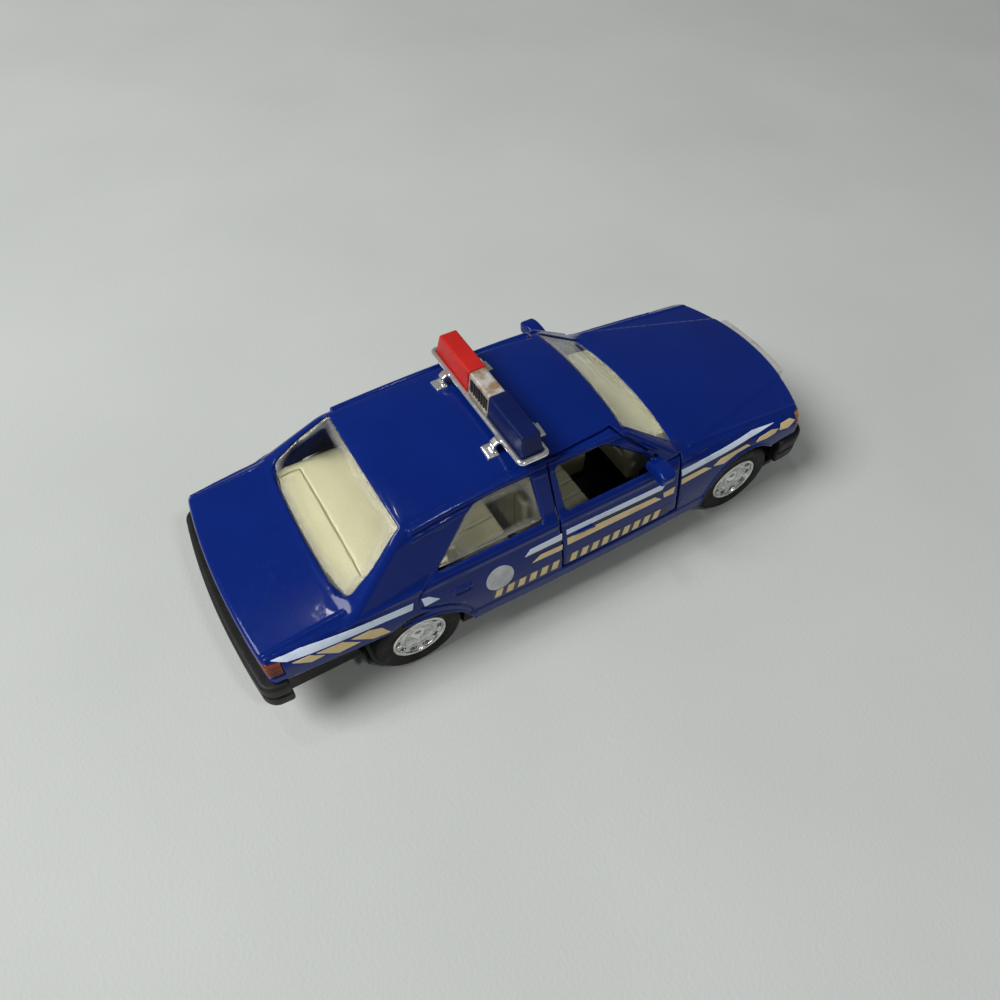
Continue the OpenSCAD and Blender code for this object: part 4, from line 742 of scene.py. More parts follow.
clear_plastic = finish("clear_plastic", {
    "Base Color": tint(scuffed(0.0, 1.0), (0.97, 0.97, 0.95), (0.46, 0.44, 0.32)),
    "Roughness": scuffed(0.02, 0.35),
    "IOR": 1.25,
    "Transmission Weight": scuffed(1.0, 0.45)})
shaded = clear_plastic.node_tree.nodes["Principled BSDF"].outputs["BSDF"]
through = put(clear_plastic, "BsdfTransparent", {"Color": (0.93, 0.93, 0.9, 1.0)}).outputs["BSDF"]
from_lamp = put(clear_plastic, "LightPath").outputs["Is Shadow Ray"]
pane_mix = put(clear_plastic, "MixShader", {0: from_lamp, 1: shaded, 2: through}).outputs["Shader"]
surface = clear_plastic.node_tree.nodes["Material Output"].inputs["Surface"]
clear_plastic.node_tree.links.new(pane_mix, surface)
dressed(glass, clear_plastic, "car", "clear_plastic", "glazing")


# Body shell: one zinc die-casting in glossy blue enamel, with its gutters, shut lines and arch lips
# cast in. It drops over the base plate, and holds the glazing, lamps and door hinges.
STEP, ROW_STEP = 0.25, 0.2
FLANK_R, FLANK_Z, WALL, DOOR_GAP, HINGE_LEAN = 45.0, 9.5, 1.2, 0.3, math.atan2(2.9, 15.4)
HINGE_X, HINGE_Y, HINGE_Z, LIP_R, LIP_TOP_Z, DOOR_FOOT_Z = 21.6, 21.4, 11.0, 3.466, 25.3, 11.5
DOOR = [(-3.1, 11.5), (21.6, 11.5), (21.6, 25.3), (19.4, 25.3), (19.4, 27.4), (10.7, 35.95), (-3.9, 35.95)]
DOOR_WINDOW = [(-1.85, 25.2), (18.1, 25.2), (18.1, 28.0), (8.8, 34.1), (-2.65, 34.1)]
REAR_SHUT = [(-29.5, 25.2), (-32.0, 23.4), (-33.2, 21.4), (-32.8, 19.6), (-30.8, 18.4), (-27.8, 17.3),
             (-25.3, 15.5), (-23.6, 13.2), (-22.6, 10.6)]
SHUT_HALF, SHUT_DEEP, LID_CROWN, NOSE_TOP_Z, TAIL_TOP_Z, BELT_RISE = 0.18, 0.3, 140.0, 22.4, 23.5, 0.01915
ARCHES = [(FRONT_AXLE_X, AXLE_Z, ARCH_R), (REAR_AXLE_X, AXLE_Z - 3.8, 11.4)]
HOUSE_R, HOUSE_Y, ARCH_LIP_R, SHELL_FOOT_Z, SILL_FOOT_Z = 9.3, 22.25, 0.25, 16.4, 8.5
POST_R, POST_Z, PEG_HOLE_R, PEG_HOLE_Z = 2.3, 8.25, 0.66, (9.5, 27.2)
GUTTER_X, GUTTER_Z, GUTTER_R, DRIP_X, DRIP_DROP, DRIP_R = (-31.5, 24.0), 26.2, 0.4, 19.0, 1.6, 0.3
BELT_LINES, BELT_LINE_X, BELT_LINE_IN = ((24.45, 0.3), (23.6, 0.24)), (-30.5, 18.6), 2.5
WAIST_Z, WAIST_R, WAIST_GAP_X, WAIST_IN = 22.35, 0.28, (-31.5, 24.5), 1.6
NOSE_WAIST, TAIL_WAIST = (56.0, 0.075), (-61.0, 0.055)
CREASE_Y, CREASE_R, CREASE_GAP_X = 18.8, 0.25, (-45.5, 28.0)
SILL_OUT, SILL_TOP_Z, SILL_REAR_X, SILL_FRONT_X = 0.25, (11.0, 11.7), (-25, -23), (32, 34)
PANEL_RISE, PANEL_X, PANEL_TAPER, PANEL_EDGE_Y, PANEL_REAR_X = 0.18, 35, 0.25, (17.1, 17.8), (27, 31)
STOP_IN, STOP_HALF, STOP_Z, STOP_X = (-1.8, -1.3), 0.7, 26.6, 18.6
DRAFT, DRAFT_DEEP, QUARTER_X, QUARTER_HALF = 0.9, 1.4, -18.0, 12.5


def off_run(u, v, start, end):
    """How far points lie from one straight run, along u and along v."""
    du, dv = end[0] - start[0], end[1] - start[1]
    along = np.clip(((u - start[0]) * du + (v - start[1]) * dv) / (du * du + dv * dv), 0, 1)
    return u - start[0] - along * du, v - start[1] - along * dv


def outline(u, v, corners):
    """Signed distance from any closed outline, less than zero inside it."""
    near, inside = np.float32(1e6), False
    for (u0, v0), (u1, v1) in zip(corners, corners[1:] + corners[:1]):
        off_u, off_v = off_run(u, v, (u0, v0), (u1, v1))
        near = np.minimum(near, off_u ** 2 + off_v ** 2)
        inside = inside ^ (((v0 <= v) != (v1 <= v)) & (u < u0 + (v - v0) * (u1 - u0) / ((v1 - v0) or 1e-9)))
    return (np.where(inside, -1, 1) * np.sqrt(near)).astype(np.float32)


def path(u, v, corners):
    """Distance from an open line of straight runs."""
    near = np.float32(1e6)
    for start, end in zip(corners, corners[1:]):
        near = np.minimum(near, np.hypot(*off_run(u, v, start, end)))
    return near


def smooth_step(value, low, high):
    share = np.clip((value - low) / (high - low), 0, 1)
    return share * share * (3 - 2 * share)


def lower_wall(x, y, z):
    """The flank: bowed along the car and rounded from sill to shoulder, with the sill standing out."""
    bow = (x - SIDE_BOW_X) ** 2 / (2 * SIDE_BOW_R)
    lean = FLANK_R - np.sqrt(FLANK_R ** 2 - (z - FLANK_Z) ** 2)
    wall = np.abs(y) - HALF_W + np.cbrt(bow ** 3 + lean ** 3)
    sill = smooth_step(x, *SILL_REAR_X) * (1 - smooth_step(x, *SILL_FRONT_X))
    return wall - SILL_OUT * (1 - smooth_step(z, *SILL_TOP_Z)) * sill


def lower_top(x, y, z):
    bonnet = under(x, y, z, SCREEN_FOOT, (NOSE_X, NOSE_TOP_Z), LID_CROWN)
    panel = 1 - smooth_step(np.abs(y) + (x - PANEL_X) * PANEL_TAPER, *PANEL_EDGE_Y)
    bonnet = bonnet - PANEL_RISE * panel * smooth_step(x, *PANEL_REAR_X)
    boot = under(x, y, z, (TAIL_X, TAIL_TOP_Z), BACK_FOOT, LID_CROWN)
    level = z - BACK_FOOT[1] - (x - BACK_FOOT[0]) * BELT_RISE
    return common(bonnet, boot, level)


def outer_skin(x, y, z):
    """The body's outer surface without its cast details."""
    lower = meet(meet(lower_wall(x, y, z), lower_top(x, y, z), 2.6), body_ends(x, y), 0.8)
    return join(lower, common(cabin_skin(x, y, z), CABIN_FOOT_Z - z), 0.9)


def cast_details(x, y, z, skin):
    """The skin with its gutters, waist lines, arch lips and rear shut line."""
    wall = lower_wall(x, y, z)
    side, roof, screen, _ = cabin_parts(x, y, z)
    rail = common(roof, screen)
    rail_end = common(slab(x, *GUTTER_X), GUTTER_Z - z)
    upper = common(np.hypot(side + 0.05, rail + 0.35) - GUTTER_R, rail_end)
    lower = common(np.hypot(side, rail + DRIP_DROP) - DRIP_R, rail_end, x - DRIP_X)
    skin = join(skin, either(upper, lower), 0.2)
    belt = either(*[np.hypot(skin + 0.1, z - line_z) - line_r for line_z, line_r in BELT_LINES])
    skin = join(skin, common(belt, slab(x, *BELT_LINE_X), -BELT_LINE_IN - wall), 0.2)
    (nose_x, nose_rise), (tail_x, tail_rise) = NOSE_WAIST, TAIL_WAIST
    waist = WAIST_Z + np.where(x > 0, (nose_x - x) * nose_rise, (x - tail_x) * tail_rise)
    line = common(np.hypot(skin, z - waist) - WAIST_R, -slab(x, *WAIST_GAP_X))
    line = common(line, body_ends(x, y) + 0.6, -WAIST_IN - wall)
    skin = join(skin, line, 0.15)
    crease = common(np.hypot(skin + 0.05, np.abs(y) - CREASE_Y) - CREASE_R, -slab(x, *CREASE_GAP_X))
    skin = join(skin, common(crease, body_ends(x, y) + 0.8), 0.4)
    for arch_x, arch_z, arch_r in ARCHES:
        lip = np.hypot(wall, np.hypot(x - arch_x, z - arch_z) - arch_r - ARCH_LIP_R) - ARCH_LIP_R
        skin = join(skin, lip, 0.3)
    shut = path(x[:, :, 0], z[0, :, :].T.reshape(1, -1), REAR_SHUT)[:, None, :]
    return common(skin, either(SHUT_HALF - shut, skin + SHUT_DEEP))


def hinge_reach(x, y, z):
    """Distance from the left door's leaning hinge line."""
    off = (y - HINGE_Y) * math.cos(HINGE_LEAN) + (z - HINGE_Z) * math.sin(HINGE_LEAN)
    return np.hypot(x - HINGE_X, off)


def hinge_height(y, z):
    """Height along the left door's hinge line."""
    return BELT_Z - (y - BELT_Y) * math.sin(HINGE_LEAN) + (z - BELT_Z) * math.cos(HINGE_LEAN)


def door_zone(x, y, z):
    """The left door's share of the skin: its outline square to the hinge, and the round front lip."""
    height = hinge_height(y, z)
    rows = np.arange(2.0, 46.0, ROW_STEP, dtype=np.float32)
    drawn = outline(x[:, 0, :], rows[None, :], DOOR)
    place = (height[0] - rows[0]) / ROW_STEP
    row = np.clip(place.astype(np.int64), 0, len(rows) - 2)
    share = (place - row).astype(np.float32)
    zone = drawn[:, row] * (1 - share) + drawn[:, row + 1] * share
    return either(zone, common(hinge_reach(x, y, z) - LIP_R, slab(height, DOOR_FOOT_Z, LIP_TOP_Z)))


def window_draft(x, y, z):
    """How far a side window's edge has run out, from the skin inwards."""
    return DRAFT * np.clip(-cabin_skin(x, y, z), 0, DRAFT_DEEP)


def lamp_cut(x, y, z, low, high):
    return common(slab(x, low[0], high[0]), slab(y, low[1], high[1]), slab(z, low[2], high[2]))


LAMP_CUTS = {"headlamp": ((52.0, 10.4, 17.2), (64.0, 17.6, 21.3)),
             "indicator": ((56.6, 17.7, 17.4), (64.0, 27.0, 21.3)),
             "tail_lamp": ((-64.0, 11.5, 18.4), (-57.95, 27.0, 21.5)),
             "grille": ((52.0, -20.0, 16.9), (65.0, 9.8, 21.7))}
HANDLES = {"door": -0.2, "body": -26.4}


def with_handle(x, z, part, skin, at_x):
    """A pull handle: a shallow pocket in the skin with a bar across it."""
    pocket = cuboid(x, skin, z, (at_x + 0.2, -0.5, 18.7), (at_x + 3.2, 3.0, 20.2), 0.3)
    part = less(part, pocket, 0.12)
    grip = cuboid(x, skin, z, (at_x - 0.3, -0.7, 19.55), (at_x + 3.6, 0.5, 20.25), 0.25)
    return join(part, grip, 0.12)


skin_axes = samples((-63.0, 0.0, 7.6), (63.0, 26.6, 38.2), STEP)
gx, gy, gz = skin_axes
skin = outer_skin(gx, gy, gz)
detailed = cast_details(gx, gy, gz, skin)
shell = common(detailed, -(skin + WALL))
foot = either(SHELL_FOOT_Z - gz, common(SILL_FOOT_Z - gz, slab(gx, REAR_AXLE_X, FRONT_AXLE_X)))
shell = meet(shell, foot, 0.25)
for wheel_x, arch_z, arch_r in ARCHES:
    arch = common(np.hypot(gx - wheel_x, gz - arch_z) - arch_r, ARCH_Y - gy)
    house = common(np.hypot(gx - wheel_x, gz - AXLE_Z) - HOUSE_R, ARCH_Y - gy, gy - HOUSE_Y)
    shell = less(shell, either(arch, house), 0.2)
draft = np.where(np.abs(gx - QUARTER_X) < QUARTER_HALF, window_draft(gx, gy, gz), 0)
shell = less(shell, windows(gx, gy, gz + draft, 0.0), 0.3)
for low, high in LAMP_CUTS.values():
    shell = less(shell, lamp_cut(gx, gy, gz, low, high), 0.12)
zone = door_zone(gx, gy, gz)
body = less(shell, zone - DOOR_GAP, 0.22)
body = with_handle(gx, gz, body, skin, HANDLES["body"])
stop = common(slab(skin, *STOP_IN), np.abs(zone) - STOP_HALF, STOP_Z - gz, gx - STOP_X)
body = either(body, stop)
foot_ear = cuboid(gx, gy, gz, (20.0, 20.2, 9.8), (23.2, 22.6, 11.15), 0.2)
head_ear = cuboid(gx, gy, gz, (20.0, 17.3, 25.65), (23.2, 19.25, 27.0), 0.2)
post = either(*[np.hypot(gx - screw_x, gy - screw_y) for screw_x, screw_y in SCREW_PLACES[:2]]) - POST_R
posts = common(post, POST_Z - gz, skin + 0.6)
peg_hole = either(PEG_HOLE_R - hinge_reach(gx, gy, gz), -slab(gz, *PEG_HOLE_Z))
body = common(either(body, foot_ear, head_ear, posts), peg_hole)
shell_piece = solid("body_casting", *both_sides(skin_axes, body), coarse=0.02)
blue_mottle = tint(grain(60, 0.35, 0.7), (0.0026, 0.0175, 0.17), (0.002, 0.0145, 0.148))
blue_paint = finish("blue_paint", {
    "Base Color": tint(wear_and_shade_mask(0.5, 1.3, 700, 0.12), blue_mottle, (0.008, 0.024, 0.2)),
    "Roughness": grain(700, 0.45, 0.8, 0.2, 0.34),
    "Coat Weight": 0.6,
    "Coat IOR": 1.32,
    "Coat Roughness": 0.06,
    "Specular IOR Level": 0.08,
    "Coat Normal": dents(grain(420, 0.3, 0.7, detail=1.5), 0.12, 0.00006),
    "Normal": dents(grain(1400, 0.66, 0.76, detail=2.0), 0.1, 0.00004)})
dressed(shell_piece, blue_paint, "car", "blue_paint", "body_shell")


# Front doors: two die-cast doors in the body's enamel, each with its window frame, mirror and pull,
# hung on pegs that turn in the body's ears. The right one is the left one's mirror image.
MIRROR = [(19.2, 25.6), (25.2, 26.3), (25.6, 28.7), (24.0, 29.3), (21.0, 28.8), (19.0, 27.2)]
MIRROR_X, MIRROR_SWEEP, SCOOP_R = (16.2, 19.5), 0.12, 2.987
KNUCKLE_R, KNUCKLE_Z, PEG_R, PEG_Z = 1.3, (11.9, 24.9), 0.6, (9.9, 26.9)


def door_field(x, y, z, shell, zone, skin):
    part = meet(shell, zone, 0.22)
    knuckle = common(hinge_reach(x, y, z) - KNUCKLE_R, slab(z, *KNUCKLE_Z))
    part = join(part, common(knuckle, skin + 0.3), 0.2)
    window = plate(x, z + window_draft(x, y, z), DOOR_WINDOW, 0.8)
    part = less(part, common(window, 10.0 - y), 0.3)
    scoop = common(hinge_reach(x, y, z) - SCOOP_R, LIP_TOP_Z - hinge_height(y, z))
    part = common(part, -scoop)
    mirror = meet(plate(y, z, MIRROR, 0.6), slab(x + MIRROR_SWEEP * (y - 22.0), *MIRROR_X), 0.6)
    part = join(part, mirror, 0.3)
    part = with_handle(x, z, part, skin, HANDLES["door"])
    peg = common(hinge_reach(x, y, z) - PEG_R, slab(z, *PEG_Z))
    return either(part, peg)


def share_of(axis, low, high):
    return slice(int((low - axis.ravel()[0]) / STEP), int((high - axis.ravel()[0]) / STEP) + 2)


def by_hand(axes, half):
    """A left piece and its mirror image: each one's hand, axes and field."""
    return ("left", axes, half), ("right", (axes[0], -axes[1][:, ::-1], axes[2]), half[:, ::-1])


cut = (share_of(gx, -5.5, 26.5), share_of(gy, 10.0, 26.5), share_of(gz, 8.6, 38.0))
door_axes = (gx[cut[0]], gy[:, cut[1]], gz[:, :, cut[2]])
left_door = door_field(*door_axes, shell[cut], zone[cut], skin[cut])
for hand, axes, half in by_hand(door_axes, left_door):
    door = solid(f"front_door_{hand}", axes, half, coarse=0.02)
    dressed(door, blue_paint, hand + "_door", "blue_paint", f"door_{hand}")


# Lamps: moulded lenses set flush in the body's openings. The tail lamps are ribbed red-brown plastic,
# the corner lamps amber, and the headlamps clear plastic silvered behind.
LENS_IN, LENS_GAP, DIVIDER_Y, DIVIDER_HALF, DIVIDER_DEEP = 0.12, 0.08, 16.4, 0.16, 0.45
LENS_RIBS = {"tail_lamp": (2, 0.1, 0.7), "headlamp": (1, 0.05, 0.6), "indicator": (2, 0.06, 0.7)}


def lamp_field(x, y, z, kind):
    low, high = LAMP_CUTS[kind]
    skin = outer_skin(x, y, z)
    axis, rib_h, rib_pitch = LENS_RIBS[kind]
    ribs = rib_h * np.cos((x, y, z)[axis] * 2 * np.pi / rib_pitch)
    part = common(skin + LENS_IN - ribs, -(skin + WALL))
    box = lamp_cut(x, y, z, [v + LENS_GAP for v in low], [v - LENS_GAP for v in high])
    part = meet(part, box, 0.15)
    if kind == "tail_lamp":
        part = common(part, either(DIVIDER_HALF - np.abs(y - DIVIDER_Y), skin + DIVIDER_DEEP))
    return part


tail_plastic = mottled("tail_plastic", (500, 0.4, 0.7), (0.2, 0.03, 0.012), (0.09, 0.022, 0.01),
                       (600, 0.2, 0.38), {"Coat Weight": 0.4})
amber_plastic = mottled("amber_plastic", (500, 0.4, 0.7), (0.42, 0.12, 0.014), (0.24, 0.07, 0.012),
                        (600, 0.16, 0.34), {"Coat Weight": 0.4})
lamp_plastic = mottled("lamp_plastic", (400, 0.4, 0.7), (0.68, 0.7, 0.7), (0.5, 0.52, 0.52),
                       (600, 0.1, 0.24), {"Metallic": 0.35, "Coat Weight": 0.8})
for kind, coat, slot_name in (("tail_lamp", tail_plastic, "tail_plastic"),
                              ("indicator", amber_plastic, "amber_plastic"),
                              ("headlamp", lamp_plastic, "lamp_plastic")):
    low, high = node_box(f"{kind}_left")
    lamp_axes = samples([v - 0.6 for v in low], [v + 0.6 for v in high], 0.12)
    for hand, axes, half in by_hand(lamp_axes, lamp_field(*lamp_axes, kind)):
        dressed(solid(f"{kind}_lens_{hand}", axes, half), coat, "car", slot_name, f"{kind}_{hand}")


# Grille: a plated plastic surround pushed into the nose, with a middle bar and bright slats that follow
# the bow of the nose. The slats are one run of Geometry Nodes, from an arc and a small section.
GRILLE_LOW, GRILLE_HIGH, GRILLE_HALF_W, GRILLE_OUT, GRILLE_BACK = 16.98, 22.1, 9.72, 1.5, 0.9
GRILLE_SLATS, SLATS_Z, SLATS_H, SLAT_REACH_Y, KEEL_HALF = 5, 17.6, 3.4, 9.1, 0.35


def grille_field(x, y, z):
    ends = np.hypot(x - (NOSE_X - NOSE_BOW_R), y) - NOSE_BOW_R
    part = slab(ends, -GRILLE_BACK, GRILLE_OUT)
    part = meet(part, common(np.abs(y) - GRILLE_HALF_W, slab(z, GRILLE_LOW, GRILLE_HIGH)), 0.3)
    hole = cuboid(ends, y, z, (-0.2, -9.0, SLATS_Z), (3.0, 9.0, SLATS_Z + SLATS_H), 0.2)
    part = less(part, hole, 0.15)
    keel = common(np.abs(y) - KEEL_HALF, slab(z, 17.2, 21.4), slab(ends, -0.5, 1.6))
    return join(part, keel, 0.15)


grille_axes = samples((58.0, -10.4, 16.3), (64.4, 10.4, 22.7), 0.14)
surround = solid("grille_surround", grille_axes, grille_field(*grille_axes))
plating = mottled("bright_plating", (500, 0.5, 0.8), (0.82, 0.81, 0.79), (0.62, 0.59, 0.52),
                  (800, 0.2, 0.36), {"Metallic": 0.55, "Normal": dents(grain(900, 0.3, 0.7), 0.1, 0.00005)},
                  edge_wear_and_hollow_shade=((0.3, 0.9, 900, 0.15), (0.7, 0.66, 0.56)))
dressed(surround, plating, "car", "chrome_plating", "grille")
tree, given, out = node_tree("grille_slats", "Bow", "Reach", "Depth", "Height")
sweep = geo(tree, "ShaderNodeMath", {0: given["Reach"], 1: -2.0}, operation="MULTIPLY")[0]
run = geo(tree, "GeometryNodeCurveArc", {"Resolution": 40, "Radius": given["Bow"],
                                         "Start Angle": given["Reach"], "Sweep Angle": sweep},
          mode="RADIUS")["Curve"]
section = geo(tree, "GeometryNodeCurvePrimitiveQuadrilateral",
              {"Width": given["Depth"], "Height": given["Height"]}, mode="RECTANGLE")["Curve"]
slat = geo(tree, "GeometryNodeCurveToMesh",
           {"Curve": run, "Profile Curve": section, "Fill Caps": True})["Mesh"]
set_on_points(tree, given, out, slat)
slat_pitch = SLATS_H / GRILLE_SLATS
slat_places = [(NOSE_X - NOSE_BOW_R, 0, SLATS_Z + slat_pitch * (i + 0.5)) for i in range(GRILLE_SLATS)]
slats = grown_by(tree, "grille_slats", slat_places,
                 {"Bow": (NOSE_BOW_R + 0.6) * MM, "Reach": math.asin(SLAT_REACH_Y / NOSE_BOW_R),
                  "Depth": 1.0 * MM, "Height": 0.34 * MM, "Finish": plating})
dressed(slats, plating, "car", "chrome_plating")


# Light bar: a plated frame of rounded rail with four strap feet pinned to the roof, a red and a dark
# blue moulded lens, and between them a silver painted block with louvres in its front and back.
BAR_X, BAR_Z, BAR_HALF_W, BAR_HALF_L, BAR_CORNER_R, RAIL_IN, RAIL_R = -7.2, 38.4, 3.2, 16.6, 1.2, 0.7, 0.5
STRAP = [(2.8, 38.85), (3.6, 38.95), (4.2, 38.5), (4.25, 37.2)]
STRAP_R, STRAP_HALF, FOOT_Y, FOOT_HALF, FOOT_X = 0.36, 0.85, 9.4, 1.5, (3.7, 6.0)
LENS_START_Y, LENS_END_Y, LENS_SLOPE_Z, LENS_SLOPE = 3.52, 15.55, 40.0, 0.24
LENS_SIDES = [(-9.0, 38.9), (2.15, 38.9), (1.8, 43.5), (-9.0, 43.5)]
SIREN_SIDES = [(-9.0, 38.9), (2.0, 38.9), (1.65, 43.35), (-9.0, 43.35)]
SIREN_HALF_L, LOUVRES, LOUVRE_PITCH, LOUVRE_X, LOUVRE_Z = 3.5, 7, 0.88, 1.62, 40.8


def bar_field(x, y, z):
    wide = np.abs(x - BAR_X)
    qx, qy = wide - (BAR_HALF_W - BAR_CORNER_R), np.abs(y) - (BAR_HALF_L - BAR_CORNER_R)
    ring = np.hypot(np.maximum(qx, 0), np.maximum(qy, 0)) + np.minimum(common(qx, qy), 0) - RAIL_IN
    part = np.hypot(ring, z - (BAR_Z + 0.55)) - RAIL_R
    tray = meet(ring, slab(z, BAR_Z + 0.1, BAR_Z + 0.5), 0.15)
    part = join(part, tray, 0.2)
    beside = np.abs(np.abs(y) - FOOT_Y)
    strap = meet(path(wide, z, STRAP) - STRAP_R, beside - STRAP_HALF, 0.3)
    pad = common(slab(wide, *FOOT_X), beside - FOOT_HALF)
    pad = meet(slab(cabin_skin(x, y, z), -0.5, 0.45), pad, 0.3)
    return join(part, join(pad, strap, 0.35), 0.25)


bar_axes = samples((-13.8, 0.0, 35.6), (-0.6, 17.2, 40.2), 0.11)
bar = solid("light_bar_rail", *both_sides(bar_axes, bar_field(*bar_axes)))
bar_chrome = mottled("bar_chrome", (500, 0.5, 0.8), (0.88, 0.87, 0.85), (0.66, 0.62, 0.54),
                     (800, 0.14, 0.28), {"Metallic": 0.85,
                                         "Normal": dents(grain(900, 0.3, 0.7), 0.08, 0.00004)},
                     edge_wear_and_hollow_shade=((0.3, 0.9, 900, 0.12), (0.72, 0.67, 0.56)))
dressed(bar, bar_chrome, "car", "chrome_plating", "light_bar_frame")


def lens_field(x, y, z):
    sides = plate(np.abs(x - BAR_X), z, LENS_SIDES, 0.35)
    end_y = LENS_END_Y + np.minimum(0, LENS_SLOPE_Z - z) * LENS_SLOPE
    return meet(sides, common(LENS_START_Y - y, y - end_y), 0.3)


lens_bump = dents(grain(500, 0.3, 0.7), 0.05, 0.00004)
red_plastic = mottled("red_lens_plastic", (120, 0.4, 0.75), (0.56, 0.022, 0.018), (0.46, 0.014, 0.012),
                      (700, 0.32, 0.46), {"Specular IOR Level": 0.25, "Normal": lens_bump})
navy_plastic = mottled("navy_lens_plastic", (120, 0.4, 0.75), (0.0042, 0.012, 0.085), (0.003, 0.008, 0.06),
                       (700, 0.3, 0.44), {"Specular IOR Level": 0.2, "Normal": lens_bump})
lens_axes = samples((-9.9, 3.0, 38.4), (-4.5, 16.1, 44.0), 0.12)
left_lens, right_lens = by_hand(lens_axes, lens_field(*lens_axes))
red = solid("red_lens_cover", *left_lens[1:])
dressed(red, red_plastic, "car", "red_plastic", "red_lens")
navy = solid("blue_lens_cover", *right_lens[1:])
dressed(navy, navy_plastic, "car", "blue_plastic", "blue_lens")


def siren_field(x, y, z):
    wide = np.abs(x - BAR_X)
    part = meet(plate(wide, z, SIREN_SIDES, 0.3), np.abs(y) - SIREN_HALF_L, 0.2)
    niche = cuboid(wide, y, z, (1.5, -3.1, 39.3), (4.0, 3.1, 42.3), 0.25)
    return less(part, niche, 0.1)


siren_axes = samples((-9.8, -4.0, 38.3), (-4.6, 4.0, 43.9), 0.1)
siren = solid("siren_housing", siren_axes, siren_field(*siren_axes))
silver_paint = mottled("silver_paint", (340, 0.48, 0.64), (0.62, 0.6, 0.56), (0.36, 0.24, 0.13),
                       (500, 0.35, 0.6), {"Metallic": 0.3,
                                          "Normal": dents(grain(1200, 0.4, 0.7), 0.3, 0.00006)},
                       edge_wear_and_hollow_shade=((0.1, 0.7, 700, 0.1), (0.3, 0.2, 0.12)))
dressed(siren, silver_paint, "car", "silver_paint", "siren_block")
tree, given, out = node_tree("siren_louvres", "Thickness", "Width", "Height")
rib_size = geo(tree, "ShaderNodeCombineXYZ",
               {"X": given["Thickness"], "Y": given["Width"], "Z": given["Height"]})[0]
set_on_points(tree, given, out, geo(tree, "GeometryNodeMeshCube", {"Size": rib_size})["Mesh"])
louvre_places = [(BAR_X + end * LOUVRE_X, LOUVRE_PITCH * (i - LOUVRES // 2), LOUVRE_Z)
                 for i in range(LOUVRES) for end in (-1, 1)]
louvres = grown_by(tree, "siren_louvres", louvre_places,
                   {"Thickness": 0.5 * MM, "Width": 0.42 * MM, "Height": 2.9 * MM, "Finish": dark_plastic})
dressed(louvres, dark_plastic, "car", "dark_plastic")


# Decals: thin printed films on both flanks, laid on the enamel and cut at the door gaps and shut lines.
# A pale blue stripe with a dark line, tan bars under it, a low row of plain slanted bars on a dull film,
# and a plain disc.
BODY_STRIPES = [[(-59.3, 22.0), (-57.0, 21.2), (-53.0, 21.0), (-40.0, 20.6), (-34.6, 20.3), (-34.2, 21.7),
                 (-40.3, 22.0), (-54.3, 22.35)],
                [(-32.3, 19.7), (-29.3, 19.9), (-31.2, 21.5), (-32.6, 21.7)],
                [(-11.7, 19.9), (-3.6, 19.8), (-3.5, 21.2), (-10.4, 21.1)],
                [(24.9, 21.0), (34.5, 21.5), (42.7, 21.9), (50.1, 21.9), (44.0, 22.7), (34.3, 22.6),
                 (24.8, 22.5)]]
DOOR_STRIPES = [[(-2.5, 20.4), (20.0, 20.0), (21.0, 21.2), (-2.5, 21.5)]]
BODY_BARS = [[(-56.3, 20.6), (-53.4, 18.8), (-51.0, 19.1), (-53.3, 20.7)],
             [(-52.2, 20.5), (-48.7, 18.0), (-44.7, 18.3), (-47.6, 20.4)],
             [(-46.1, 20.1), (-42.5, 17.6), (-39.2, 17.3), (-40.5, 19.4), (-42.7, 20.2)],
             [(-10.2, 17.5), (-3.6, 17.2), (-3.5, 18.4), (-8.3, 18.6)],
             [(24.9, 18.9), (32.6, 19.4), (30.9, 20.3), (24.9, 20.2)],
             [(33.2, 19.6), (36.0, 18.9), (39.5, 20.0), (43.0, 20.3), (42.0, 20.9), (35.0, 20.6)],
             [(44.6, 20.3), (47.5, 19.9), (49.8, 20.1), (51.0, 20.6), (49.1, 21.1), (45.5, 21.0)],
             [(51.3, 20.2), (53.8, 19.7), (56.1, 20.4), (54.8, 21.1), (51.9, 21.2)]]
DOOR_BARS = [[(-2.4, 17.7), (20.0, 17.6), (18.3, 18.9), (4.0, 19.3), (4.0, 18.4), (-0.9, 18.4), (-0.9, 19.35),
              (-2.4, 19.4)],
             [(20.6, 17.7), (23.0, 17.6), (23.3, 19.2), (20.4, 18.9)]]
BODY_LINES = [[(-11.3, 19.4), (-3.6, 19.2), (-3.6, 19.7), (-11.7, 19.8)],
              [(24.9, 20.5), (34.5, 21.0), (44.0, 21.4), (42.7, 21.8), (34.5, 21.4), (24.9, 20.9)]]
DOOR_LINES = [[(4.0, 19.6), (20.2, 19.3), (20.0, 19.85), (4.0, 20.15)]]
BODY_DULL = [[(-19.2, 11.9), (-3.6, 11.9), (-3.6, 15.0), (-19.2, 15.0)]]
DOOR_DULL = [[(-2.6, 12.0), (22.6, 12.0), (22.6, 15.0), (-2.6, 15.0)]]
MARK_LOW, MARK_HIGH, MARK_W, MARK_PITCH, MARK_SLANT = 12.4, 14.6, 1.45, 2.5, 0.5
DISC_AT, DISC_R, DISC_STEPS = (-17.2, 17.7), 2.9, 48
FILM_SUNK, FILM_START_Y, FILM_TURNS, FILM_NUDGE = 0.05, 22.0, 12, 0.01


def mark_row(start, count):
    """A row of plain slanted bars."""
    feet = [start + MARK_PITCH * i for i in range(count)]
    return [[(foot, MARK_LOW), (foot + MARK_W, MARK_LOW), (foot + MARK_W + MARK_SLANT, MARK_HIGH),
             (foot + MARK_SLANT, MARK_HIGH)] for foot in feet]


